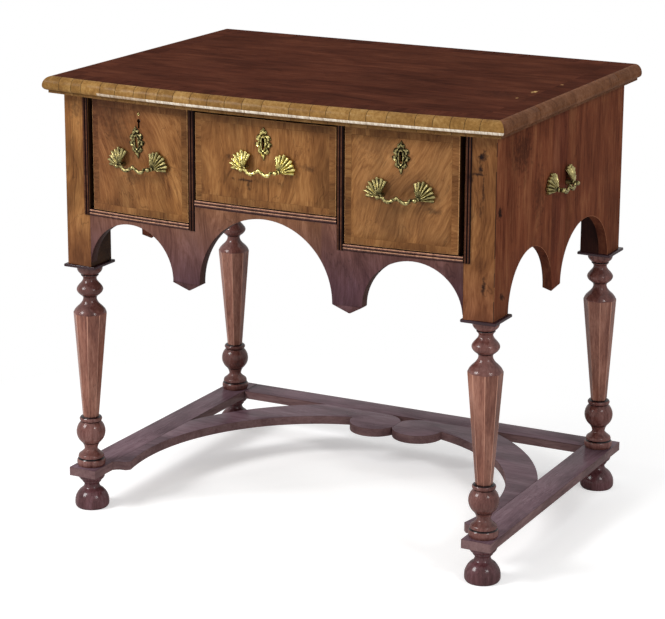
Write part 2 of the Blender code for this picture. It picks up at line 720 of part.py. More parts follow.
def make_top():
    """The top board with its bolt mortises, and the moulding round three edges."""
    arris = FRONT - TOP_FRONT_OVERHANG
    rear = BACK + TOP_BACK_OVERHANG
    end = HALF_TOP - GAP
    board = bowed_slab([(x, CASE_TOP, HEIGHT, rear) for x in steps(-end, end, 12)], arris + GAP)
    for _, x, _, _ in bolt_places():
        low = (x - BOLT_WIDTH / 2 - MORTISE_PLAY, BOLT_LOW_Y - MORTISE_PLAY, CASE_TOP - OVERCUT)
        high = (x + BOLT_WIDTH / 2 + MORTISE_PLAY, BOLT_HIGH_Y + MORTISE_PLAY, CASE_TOP + MORTISE_DEPTH)
        board = cut(board, box(low, high))
    add("top_board", board, WALNUT_TOP)
    nose = HEIGHT - NOSE_DROP
    under = CASE_TOP + FILLET_HEIGHT
    profile = [(0.0, CASE_TOP), (0.0, HEIGHT)]
    for angle in steps(90, 0, 4)[1:]:
        a = math.radians(angle)
        profile.append((NOSE_PROJECTION * math.cos(a), nose + NOSE_DROP * math.sin(a)))
    for angle in steps(0, -80, 2)[1:]:
        a = math.radians(angle)
        out = FILLET_PROJECTION + (NOSE_PROJECTION - FILLET_PROJECTION) * math.cos(a)
        profile.append((out, nose + (nose - under) * math.sin(a)))
    profile += [(FILLET_PROJECTION, under), (FILLET_PROJECTION, CASE_TOP)]
    path = [(-HALF_TOP, rear, -1, 0), (-HALF_TOP, arris, -1, -1)]
    path += [(x, arris - bow(x), 0, -1) for x in steps(-HALF_TOP, HALF_TOP, 12)[1:-1]]
    path += [(HALF_TOP, arris, 1, -1), (HALF_TOP, rear, 1, 0)]
    rings = [[(x + a * out, y + b * out, z) for out, z in profile] for x, y, a, b in path]
    add("top_moulding", loft(rings), WALNUT_EDGE)


def keyhole(x, z, low, high):
    """A cutter in the shape of a keyhole, along Y."""
    points = []
    start = math.asin(KEYHOLE_SLOT_WIDTH / 2 / KEYHOLE_RADIUS) - math.pi / 2
    for angle in steps(start, math.pi - start, 9):
        points.append((x + KEYHOLE_RADIUS * math.cos(angle), z + KEYHOLE_RADIUS * math.sin(angle)))
    foot = z - KEYHOLE_SLOT_LENGTH
    points += [(x - KEYHOLE_SLOT_WIDTH / 2, foot), (x + KEYHOLE_SLOT_WIDTH / 2, foot)]
    return prism(points, low, high, "Y")


def round_slot(half_width, half_length):
    """A cutter for an upright slot with round ends, along Y."""
    reach = half_length - half_width
    points = []
    for first, last, middle in ((0, 180, reach), (180, 360, -reach)):
        for angle in steps(math.radians(first), math.radians(last), 6):
            points.append((half_width * math.cos(angle), middle + half_width * math.sin(angle)))
    return prism(points, -OVERCUT, OVERCUT, "Y")


def leaf_pin_place():
    """Where the right-hand leaf's pin stands in its handle's own frame, as x and z."""
    angle = math.radians(LEAF_AXIS)
    return KNUCKLE_X + LEAF_PIN_OUT * math.cos(angle), LEAF_PIN_OUT * math.sin(angle) - KNUCKLE_DROP


def leaf_pin_holes(mesh, place, angle):
    """Cut the two holes for a handle's pins, for a handle placed on a face and turned about Z."""
    x, z = leaf_pin_place()
    there = Matrix.Translation(place) @ Matrix.Rotation(angle, 4, "Z")
    for side in (-1, 1):
        hole = rod((side * x, z), LEAF_PIN_RADIUS + 2 * GAP, -OVERCUT, LEAF_PIN_DEPTH + PIN_ROOM, "Y", 10)
        bmesh.ops.transform(hole, matrix=there, verts=hole.verts)
        mesh = cut(mesh, hole)
    return mesh


def make_drawer(name, low, high, bottom, top, handle_height, keyhole_height):
    """One drawer: the bowed front, the dovetailed frame and the bottom board."""
    middle = (low + high) / 2
    front = bowed_slab([(x, bottom, top, DRAWER_FRONT_BACK) for x in steps(low, high, 6)])
    front = cut(front, keyhole(middle, keyhole_height, FRONT - 2 * BOW, DRAWER_FRONT_BACK + OVERCUT))
    front = leaf_pin_holes(front, (middle, FRONT - bow(middle), handle_height), turn(middle))
    add("drawer_front_" + name, front, WALNUT_FRONT)
    left, right = low + DRAWER_SIDE_INSET, high - DRAWER_SIDE_INSET
    near, far = DRAWER_FRONT_BACK + GAP, DRAWER_REAR
    thick = DRAWER_SIDE_THICKNESS
    board_low = bottom + DRAWER_PLAY
    board_high = board_low + DRAWER_BOTTOM_THICKNESS
    outline = [
        (left, near),
        (left + thick, near),
        (left + thick, far - thick),
        (right - thick, far - thick),
        (right - thick, near),
        (right, near),
        (right, far),
        (left, far),
    ]
    add("drawer_frame_" + name, prism(outline, board_high + GAP, top - DRAWER_SIDE_DROP), OAK)
    add("drawer_bottom_" + name, box((left, near, board_low), (right, far, board_high)), OAK)


def make_lock(name, x, top, keyhole_height):
    """A drawer lock behind the keyhole: its case with the drill pin, and the bolt that rises."""
    near = DRAWER_FRONT_BACK + GAP
    high = top - LOCK_TOP_SETBACK
    half = LOCK_WIDTH / 2
    case = box((x - half, near, high - LOCK_HEIGHT), (x + half, near + LOCK_THICKNESS, high))
    foot = high - BOLT_HEIGHT
    side = BOLT_WIDTH / 2 + GAP
    slot = box((x - side, BOLT_LOW_Y - GAP, foot - GAP), (x + side, BOLT_HIGH_Y + GAP, high + OVERCUT))
    case = cut(case, slot)
    pin_end = FRONT - bow(x) + DRILL_PIN_SETBACK
    pin = rod((x, keyhole_height), DRILL_PIN_RADIUS, pin_end, near + BITE, "Y", 6)
    add("lock_case_" + name, combine(case, pin), IRON)
    bolt = box((x - BOLT_WIDTH / 2, BOLT_LOW_Y, foot), (x + BOLT_WIDTH / 2, BOLT_HIGH_Y, high))
    add("lock_bolt_" + name, bolt, IRON)


def escutcheon_outline():
    """Half of the cartouche's outline, top to bottom, as shares of its half width and height."""
    return [
        (0.00, 1.00), (0.14, 0.86), (0.42, 0.72), (0.34, 0.56), (0.72, 0.50), (0.86, 0.28),
        (0.66, 0.14), (1.00, 0.02), (0.80, -0.20), (0.58, -0.26), (0.70, -0.46), (0.44, -0.62),
        (0.22, -0.66), (0.16, -0.84), (0.00, -1.00),
    ]


def make_escutcheon(name, x, middle_height, lean):
    """A pierced keyhole plate, drawn about its own middle and placed on the drawer front."""
    half = escutcheon_outline()
    whole = half + [(-a, b) for a, b in reversed(half[1:-1])]
    points = [(a * ESCUTCHEON_WIDTH / 2, b * ESCUTCHEON_HEIGHT / 2) for a, b in whole]
    plate = prism(points, -ESCUTCHEON_THICKNESS - GAP, -GAP, "Y")
    plate = cut(plate, round_slot(ESCUTCHEON_SLOT_WIDTH / 2, ESCUTCHEON_SLOT_LENGTH / 2))
    for side in (-1, 1):
        for height in PIERCING_HEIGHTS:
            plate = cut(plate, rod((side * PIERCING_X, height), PIERCING_RADIUS, -OVERCUT, OVERCUT, "Y", 6))
    swing = Matrix.Rotation(math.radians(lean), 4, "Y")
    bmesh.ops.transform(plate, matrix=swing, verts=plate.verts)
    made = add("escutcheon_" + name, plate, BRASS)
    made.location = (x, FRONT - bow(x), middle_height)
    made.rotation_euler = (0, 0, turn(x))


def leaf_mesh():
    """A right-hand cast leaf: a domed fan of lobes, its knuckle and its fixing pin."""
    root_x, root_z = KNUCKLE_X, -KNUCKLE_DROP
    count = 2 * LEAF_LOBES
    start = math.radians(LEAF_AXIS - LEAF_SPREAD / 2)
    spread = math.radians(LEAF_SPREAD)
    shares = (LEAF_ROOT, 0.55, 0.83, 1.00)

    def dome(share):
        return LEAF_STANDOFF + LEAF_DOME * (1 - share**2)

    def point(k, share, back):
        angle = start + spread * k / count
        notch = 1.0 if k % 2 else LEAF_NOTCH
        reach = LEAF_RADIUS * share * (1 + (notch - 1) * share**2)
        out = dome(share) + (0 if back else LEAF_THICKNESS)
        return (root_x + reach * math.cos(angle), -out, root_z + reach * math.sin(angle))

    mesh = bmesh.new()
    layers = []
    for back in (False, True):
        rows = [[mesh.verts.new(point(k, share, back)) for k in range(count + 1)] for share in shares]
        layers.append(rows)
        for lower, upper in zip(rows, rows[1:]):
            for k in range(count):
                mesh.faces.new((lower[k], lower[k + 1], upper[k + 1], upper[k]))
    front, rear = layers
    border = [row[0] for row in front] + front[-1][1:] + [row[-1] for row in reversed(front[:-1])]
    border += list(reversed(front[0][1:-1]))
    under = [row[0] for row in rear] + rear[-1][1:] + [row[-1] for row in reversed(rear[:-1])]
    under += list(reversed(rear[0][1:-1]))
    for k in range(len(border)):
        n = (k + 1) % len(border)
        mesh.faces.new((border[k], border[n], under[n], under[k]))
    bmesh.ops.recalc_face_normals(mesh, faces=mesh.faces)

    profile = [(KNUCKLE_FOOT_RADIUS, KNUCKLE_FOOT), (KNUCKLE_NECK_RADIUS, KNUCKLE_NECK)]
    for angle in steps(-50, 70, 4):
        a = math.radians(angle)
        profile.append((KNUCKLE_RADIUS * math.cos(a), KNUCKLE_STAND + KNUCKLE_RADIUS * math.sin(a)))
    rings = []
    for radius, out in profile:
        ring = []
        for k in range(8):
            a = 2 * math.pi * k / 8
            ring.append((root_x + radius * math.cos(a), -out, root_z + radius * math.sin(a)))
        rings.append(ring)
    mesh = combine(mesh, loft(rings))
    pin_head = dome(LEAF_PIN_OUT / LEAF_RADIUS) + LEAF_THICKNESS / 2
    mesh = combine(mesh, rod(leaf_pin_place(), LEAF_PIN_RADIUS, -pin_head, LEAF_PIN_DEPTH, "Y", 6))
    centre, radius = (-KNUCKLE_STAND, root_z), BAIL_PIN_RADIUS + 2 * GAP
    return cut(mesh, rod(centre, radius, root_x - OVERCUT, root_x + OVERCUT, "X", 8))


def bail_mesh():
    """The swinging bail, drawn with its hinge axis through the origin along X."""
    end, start = KNUCKLE_X + BAIL_PIN_END, KNUCKLE_X - BAIL_PIN_START
    path = [(-end, 0.0, BAIL_PIN_RADIUS), (-start, 0.0, BAIL_PIN_RADIUS)]
    whole = [(-a, b) for a, b in BAIL_CURVE] + list(reversed(BAIL_CURVE[:-1]))
    for across, down in whole:
        radius = BAIL_WRAP_RADIUS if abs(across) < BAIL_WRAP_SHARE else BAIL_RADIUS
        path.append((BAIL_HALF_SPAN * across, -BAIL_DROP * down, radius))
    path += [(start, 0.0, BAIL_PIN_RADIUS), (end, 0.0, BAIL_PIN_RADIUS)]
    rings = []
    for k, (x, z, radius) in enumerate(path):
        before = path[max(k - 1, 0)]
        after = path[min(k + 1, len(path) - 1)]
        along = Vector((after[0] - before[0], 0, after[1] - before[1])).normalized()
        across = Vector((-along.z, 0, along.x))
        ring = []
        for n in range(6):
            a = 2 * math.pi * n / 6
            out = math.cos(a) * across + math.sin(a) * Vector((0, 1, 0))
            ring.append(Vector((x, 0, z)) + radius * out)
        rings.append(ring)
    return loft(rings)


def make_handle(name, place, angle, right_leaf, left_leaf, bail):
    """Place one handle's two leaves and its bail on a face, turned about Z by an angle."""
    frame = bpy.data.objects.new("handle_frame_" + name, None)
    bpy.context.scene.collection.objects.link(frame)
    frame.location = place
    frame.rotation_euler = (0, 0, angle)
    for side, mesh in (("right", right_leaf), ("left", left_leaf)):
        leaf = bpy.data.objects.new("leaf_%s_%s" % (name, side), mesh)
        bpy.context.scene.collection.objects.link(leaf)
        leaf.parent = frame
        leaf.location = (0, -GAP, 0)
    swing = bpy.data.objects.new("bail_" + name, bail)
    bpy.context.scene.collection.objects.link(swing)
    swing.parent = frame
    swing.location = (0, -KNUCKLE_STAND - GAP, -KNUCKLE_DROP)


def handle_meshes():
    """The leaf, its mirror image and the bail, as meshes that every handle shares."""
    made = []
    leaf = leaf_mesh()
    for name, mesh in (("leaf_right", leaf), ("leaf_left", mirror(leaf)), ("bail", bail_mesh())):
        data = bpy.data.meshes.new(name)
        mesh.to_mesh(data)
        data.materials.append(BRASS)
        data.shade_smooth()
        data.set_sharp_from_angle(angle=math.radians(40))
        made.append(data)
    return made


def turned(profile, lean=None):
    """A turned bmesh. Each row holds a radius, a height and, where faceted, the flats' distance."""
    rings = []
    for row in profile:
        radius, z = row[0], row[1]
        flat = row[2] if len(row) > 2 else None
        shift_x, shift_y = lean(z) if lean else (0.0, 0.0)
        ring = []
        for k in range(LEG_SIDES):
            angle = 2 * math.pi * k / LEG_SIDES
            reach = radius
            if flat:
                from_flat = (angle + math.pi / 8) % (math.pi / 4) - math.pi / 8
                reach = min(radius, flat / math.cos(from_flat))
            ring.append((reach * math.cos(angle) + shift_x, reach * math.sin(angle) + shift_y, z))
        rings.append(ring)
    return loft(rings)


def leg_profile():
    """The leg's outline, from the dowel hole in its base to the dowel on its top."""
    base, top = LEG_BOTTOM, LEG_TOP
    shoulder = top - SHOULDER_DROP
    hole = DOWEL_RADIUS + GAP
    rows = [(hole, base + DOWEL_LENGTH), (hole, base)]
    rows += [(radius, base + height) for radius, height in LEG_BASE_TURNING]
    for angle in steps(BALL_LOW_ANGLE, BALL_HIGH_ANGLE, 4):
        a = math.radians(angle)
        rows.append((BALL_RADIUS * math.cos(a), base + BALL_HEIGHT + BALL_RADIUS * math.sin(a)))
    rows += [
        (BALL_FILLET_RADIUS, base + BALL_FILLET_HEIGHT),
        (TAPER_FOOT_RADIUS, base + TAPER_START, TAPER_FOOT_FLAT),
        (SHOULDER_RADIUS, shoulder, SHOULDER_FLAT),
        (SHOULDER_EDGE_RADIUS, shoulder + SHOULDER_EDGE_HEIGHT, SHOULDER_EDGE_FLAT),
    ]
    rows += [(radius, shoulder + height) for radius, height in LEG_NECK_TURNING]
    rows += [(radius, top - depth) for radius, depth in LEG_TOP_TURNING]
    rows += [(DOWEL_RADIUS, top), (DOWEL_RADIUS, CASE_BOTTOM + DOWEL_LENGTH - 2 * GAP)]
    return rows


def foot_profile():
    """The foot's outline, from the floor to the dowel that passes through the stretcher."""
    rows = list(FOOT_BUN_TURNING)
    rows += [(radius, FOOT_TOP - depth) for radius, depth in FOOT_TOP_TURNING]
    rows += [(DOWEL_RADIUS, FOOT_TOP), (DOWEL_RADIUS, LEG_BOTTOM + DOWEL_LENGTH - 2 * GAP)]
    return rows


def leg_corners():
    """Each leg's name, the place of its top and the place of its foot."""
    corners = []
    for end, top_y, foot_y in (
        ("front", FRONT + FRONT_LEG_TOP_INSET, FRONT + FRONT_LEG_FOOT_INSET),
        ("back", BACK - BACK_LEG_TOP_INSET, BACK - BACK_LEG_FOOT_INSET),
    ):
        for side, sign in (("left", -1), ("right", 1)):
            corners.append((end + "_" + side, (sign * LEG_TOP_X, top_y), (sign * LEG_FOOT_X, foot_y)))
    return corners


def make_cap(name, x, y):
    """The thin moulded pad between a post and its leg."""
    low, high = CAP_TOP - CAP_THICKNESS, CAP_TOP
    mesh = box((-CAP_HALF_WIDTH, -CAP_HALF_DEPTH, low), (CAP_HALF_WIDTH, CAP_HALF_DEPTH, high))
    rim = [e for e in mesh.edges if abs(e.verts[0].co.z - e.verts[1].co.z) < 1e-6]
    bmesh.ops.bevel(mesh, geom=rim, offset=CAP_ROUND, segments=2, profile=0.5, affect="EDGES")
    mesh = cut(mesh, dowel_hole(0, 0, low - OVERCUT, high + OVERCUT))
    made = add("leg_cap_" + name, mesh, WALNUT_TURNED)
    made.location = (x, y, 0)


def make_legs():
    """Four legs, each with its cap above and its foot below the stretcher."""
    for name, (top_x, top_y), (foot_x, foot_y) in leg_corners():
        make_cap(name, top_x, top_y)
        straight = LEG_BOTTOM + DOWEL_LENGTH

        def lean(z, reach=(top_x - foot_x, top_y - foot_y)):
            share = min(max((z - straight) / (LEG_TOP - straight), 0.0), 1.0)
            return reach[0] * share, reach[1] * share

        leg = add("leg_" + name, turned(leg_profile(), lean), WALNUT_TURNED)
        leg.location = (foot_x, foot_y, 0)
        foot = add("foot_" + name, turned(foot_profile()), WALNUT_TURNED)
        foot.location = (foot_x, foot_y, 0)


def ellipse_point(angle, half_x, half_y):
    """A point on one of the curved boards' edges."""
    return (half_x * math.cos(angle), CURVE_CENTRE + half_y * math.sin(angle))


def lobe_point(angle):
    """A point on the right-hand lobe's edge."""
    return (LOBE_X + LOBE_RADIUS * math.cos(angle), LOBE_Y + LOBE_RADIUS * math.sin(angle))


def lobe_meeting():
    """The angle on the front curve at which it runs into the lobe."""
    low, high = math.radians(45), math.radians(90)
    for k in range(40):
        middle = (low + high) / 2
        x, y = ellipse_point(middle, CURVE_FRONT_X, CURVE_FRONT_Y)
        if math.hypot(x - LOBE_X, y - LOBE_Y) > LOBE_RADIUS:
            low = middle
        else:
            high = middle
    return low


def curved_board():
    """The right-hand curved board's outline: ear, hollow front, lobe, and hollow back."""
    rail = RAIL_INNER - GAP
    ear = FRONT + EAR_INSET
    start = math.asin((ear + EAR_DEPTH - CURVE_CENTRE) / CURVE_FRONT_Y)
    meeting = lobe_meeting()
    first = ellipse_point(start, CURVE_FRONT_X, CURVE_FRONT_Y)
    width = rail - first[0]
    points = [(rail - a * width, ear + b * EAR_DEPTH) for a, b in EAR_CURVE]
    points += [ellipse_point(a, CURVE_FRONT_X, CURVE_FRONT_Y) for a in steps(start, meeting, 18)]
    x, y = points[-1]
    cusp = math.acos((GAP / 2 - LOBE_X) / LOBE_RADIUS)
    points += [lobe_point(a) for a in steps(math.atan2(y - LOBE_Y, x - LOBE_X), -cusp, 14)[1:]]
    points += [lobe_point(a) for a in steps(cusp, math.pi / 2, 5)]
    rail_front = BACK_RAIL_FRONT - GAP
    high = math.asin((rail_front - CURVE_CENTRE) / CURVE_REAR_Y)
    low = math.acos(rail / CURVE_REAR_X)
    points += [ellipse_point(a, CURVE_REAR_X, CURVE_REAR_Y) for a in steps(high, low, 10)]
    return points


def make_stretcher():
    """The flat stretcher: side rails, back rail and the two curved boards."""
    rail = box((RAIL_INNER, RAIL_FRONT, STRETCHER_BOTTOM), (RAIL_OUTER, RAIL_BACK, STRETCHER_TOP))
    for y in (FRONT + FRONT_LEG_FOOT_INSET, BACK - BACK_LEG_FOOT_INSET):
        rail = cut(rail, dowel_hole(LEG_FOOT_X, y, STRETCHER_BOTTOM - OVERCUT, STRETCHER_TOP + OVERCUT))
    add_pair("stretcher_side", rail, WALNUT_TURNED)
    end = RAIL_INNER - GAP
    back = box((-end, BACK_RAIL_FRONT, STRETCHER_BOTTOM), (end, RAIL_BACK, STRETCHER_TOP))
    add("stretcher_back", back, WALNUT_TURNED)
    add_pair("stretcher_front", prism(curved_board(), STRETCHER_BOTTOM, STRETCHER_TOP), WALNUT_TURNED)


make_top()
make_apron()
make_stiles()
make_sides()
make_partitions()
make_back()
for drawer, low_x, high_x, low_z, high_z, handle_z, key_z in (
    (
        "left", -OUTER_HIGH, -OUTER_LOW, OUTER_DRAWER_BOTTOM, OUTER_DRAWER_TOP,
        OUTER_HANDLE_HEIGHT, LEFT_KEYHOLE_HEIGHT,
    ),
    (
        "centre", -CENTRE_HALF, CENTRE_HALF, CENTRE_DRAWER_BOTTOM, CENTRE_DRAWER_TOP,
        CENTRE_HANDLE_HEIGHT, KEYHOLE_HEIGHT,
    ),
    (
        "right", OUTER_LOW, OUTER_HIGH, OUTER_DRAWER_BOTTOM, OUTER_DRAWER_TOP,
        OUTER_HANDLE_HEIGHT, KEYHOLE_HEIGHT,
    ),
):
    make_drawer(drawer, low_x, high_x, low_z, high_z, handle_z, key_z)
for drawer, middle_x, top_edge, key_z in bolt_places():
    make_lock(drawer, middle_x, top_edge, key_z)
SLIPPED = LEFT_KEYHOLE_HEIGHT - ESCUTCHEON_DROP - ESCUTCHEON_SLIP
make_escutcheon("left", -OUTER_MIDDLE - ESCUTCHEON_ASIDE, SLIPPED, -ESCUTCHEON_LEAN)
make_escutcheon("centre", 0.0, KEYHOLE_HEIGHT - ESCUTCHEON_DROP, 0.0)
make_escutcheon("right", OUTER_MIDDLE, KEYHOLE_HEIGHT - ESCUTCHEON_DROP, 0.0)
make_legs()
make_stretcher()

LEAF_RIGHT, LEAF_LEFT, BAIL = handle_meshes()
for drawer, middle_x, handle_z in (
    ("left", -OUTER_MIDDLE, OUTER_HANDLE_HEIGHT),
    ("centre", 0.0, CENTRE_HANDLE_HEIGHT),
    ("right", OUTER_MIDDLE, OUTER_HANDLE_HEIGHT),
):
    spot = (middle_x, FRONT - bow(middle_x), handle_z)
    make_handle(drawer, spot, turn(middle_x), LEAF_RIGHT, LEAF_LEFT, BAIL)
for side_name, sign in (("left_side", -1), ("right_side", 1)):
    spot = (sign * HALF_CASE, SIDE_MIDDLE, SIDE_HANDLE_HEIGHT)
    make_handle(side_name, spot, sign * math.pi / 2, LEAF_RIGHT, LEAF_LEFT, BAIL)
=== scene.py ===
"""The look of the dressing table: finer pieces, veneers, polish, brass, and the photograph's view."""

import math
import random

import bmesh
import bpy
from mathutils import Matrix, Vector, noise


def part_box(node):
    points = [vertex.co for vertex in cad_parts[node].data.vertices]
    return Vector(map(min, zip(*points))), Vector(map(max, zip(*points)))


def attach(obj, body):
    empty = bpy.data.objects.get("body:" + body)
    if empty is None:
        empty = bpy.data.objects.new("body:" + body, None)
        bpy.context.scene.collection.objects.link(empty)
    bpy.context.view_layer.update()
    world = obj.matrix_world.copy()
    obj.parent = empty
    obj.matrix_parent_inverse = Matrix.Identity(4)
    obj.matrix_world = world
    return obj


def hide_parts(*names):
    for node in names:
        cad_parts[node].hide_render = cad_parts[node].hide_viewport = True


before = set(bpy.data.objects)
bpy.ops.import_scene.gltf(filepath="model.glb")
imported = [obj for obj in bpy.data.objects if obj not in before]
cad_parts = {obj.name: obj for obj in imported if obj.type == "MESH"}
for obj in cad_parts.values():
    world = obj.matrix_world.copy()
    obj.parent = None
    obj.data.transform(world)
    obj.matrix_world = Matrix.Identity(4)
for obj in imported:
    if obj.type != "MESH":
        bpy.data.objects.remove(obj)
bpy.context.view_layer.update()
dice = random.Random(7)

# The photograph's view, fitted to corners measured on it. Angles in degrees.
TARGET = Vector((0.0, 0.01125, 0.370))
DISTANCE = 3.977
AZIMUTH = 26.973
ELEVATION = 14.989
ROLL = 0.340
LENS = 128.53
SHIFT_X, SHIFT_Y = -0.0216, -0.0315
FLOOR_GLOW = 0.37
WHITE = (1.0, 1.0, 1.0, 1.0)

# The table's main sizes, as its solids have them
BOW = 0.024
HALF_TOP, HALF_CASE = 0.391, 0.381
FRONT, BACK = -0.24975, 0.27725
ARRIS, TOP_REAR = FRONT - 0.018, BACK + 0.020
SIDE_MIDDLE = (FRONT + BACK) / 2 - 0.0168
CASE_BOTTOM, CASE_TOP, HEIGHT = 0.427, 0.713, 0.740
GAP = 0.0003
BOARD_TOP = CASE_TOP - GAP
APRON_BACK = FRONT + 0.020
APRON_EDGE = 0.018
APRON_REST = 0.004
PARTITION_BOTTOM = 0.505
DRAWER_FRONT_BACK = FRONT + 0.014
POST_INNER = 0.3325
POST_DEPTH = 0.0545
SIDE_INNER = 0.365
BACK_INNER = BACK - 0.012
PARTITION_LOW, PARTITION_HIGH = 0.126, 0.1365
OUTER_LOW, OUTER_HIGH = 0.1385, 0.3235
OUTER_MIDDLE = (OUTER_LOW + OUTER_HIGH) / 2
OUTER_DRAWER_BOTTOM, OUTER_DRAWER_TOP = 0.526, 0.708
CENTRE_DRAWER_BOTTOM, CENTRE_DRAWER_TOP = 0.566, 0.7055
CENTRE_HALF = 0.124
DRAWER_PLAY = 0.001
BEAD_WIDTH, BEAD_PROJECTION = 0.0105, 0.0024
OUTER_BEAD_TOP = OUTER_DRAWER_BOTTOM - DRAWER_PLAY
OUTER_BEAD_BOTTOM = OUTER_BEAD_TOP - BEAD_WIDTH
CENTRE_BEAD_TOP = CENTRE_DRAWER_BOTTOM - DRAWER_PLAY
CENTRE_BEAD_BOTTOM = CENTRE_BEAD_TOP - BEAD_WIDTH
PENDANT_DROP, SIDE_PENDANT_DROP = 0.014, 0.010
FRONT_PENDANT_X, FRONT_PENDANT_WIDTH = 0.1435, 0.050
SIDE_PENDANT_WIDTH = 0.036
CENTRE_ARCH_RISE, OUTER_ARCH_RISE, SIDE_ARCH_RISE = 0.121, 0.082, 0.0855
OUTER_ARCH_LOW = FRONT_PENDANT_X + FRONT_PENDANT_WIDTH / 2
OUTER_ARCH_MIDDLE = (OUTER_ARCH_LOW + POST_INNER) / 2
OUTER_ARCH_HALF = (POST_INNER - OUTER_ARCH_LOW) / 2
CENTRE_ARCH_HALF = FRONT_PENDANT_X - FRONT_PENDANT_WIDTH / 2
RUNNER_HEIGHT = RUNNER_REACH = 0.012
MORTISE_HALF_WIDTH, MORTISE_DEPTH = 0.010, 0.010
MORTISE_FRONT = DRAWER_FRONT_BACK + GAP + 0.002
MORTISE_BACK = MORTISE_FRONT + 0.007
VENEER = 0.0010
ARRIS_WIDTH = 0.0007

X_AXIS, Y_AXIS, Z_AXIS = Vector((1, 0, 0)), Vector((0, 1, 0)), Vector((0, 0, 1))


# Outlines


def steps(low, high, count):
    """Evenly spaced values from low to high."""
    return [low + (high - low) * k / count for k in range(count + 1)]


def at_angle(middle, reach, angle):
    """The point of an ellipse at an angle in degrees, from its middle and its reaches across and up."""
    turned_by = math.radians(angle)
    return (middle[0] + reach[0] * math.cos(turned_by), middle[1] + reach[1] * math.sin(turned_by))


def arc(middle, reach, start, end, count):
    """Points along an ellipse between two angles in degrees."""
    return [at_angle(middle, reach, angle) for angle in steps(start, end, count)]


def bow(x):
    """How far the bowed front stands forward of the line between its ends, at x."""
    return BOW * (1 - (x / HALF_TOP) ** 2)


def turn(x):
    """The angle by which the bowed front faces away from -Y at x."""
    return math.atan(2 * BOW * x / HALF_TOP**2)


# Materials


def colour(red, green, blue):
    """A linear colour from the values that a screen shows, 0 to 255."""
    made = []
    for value in (red, green, blue):
        value /= 255
        made.append(value / 12.92 if value <= 0.04045 else ((value + 0.055) / 1.055) ** 2.4)
    return (*made, 1.0)


def tuned(shown, factor, added=0.0):
    """A colour times a factor, with some white added."""
    return (*(min(1.0, factor * value + added) for value in shown[:3]), 1.0)


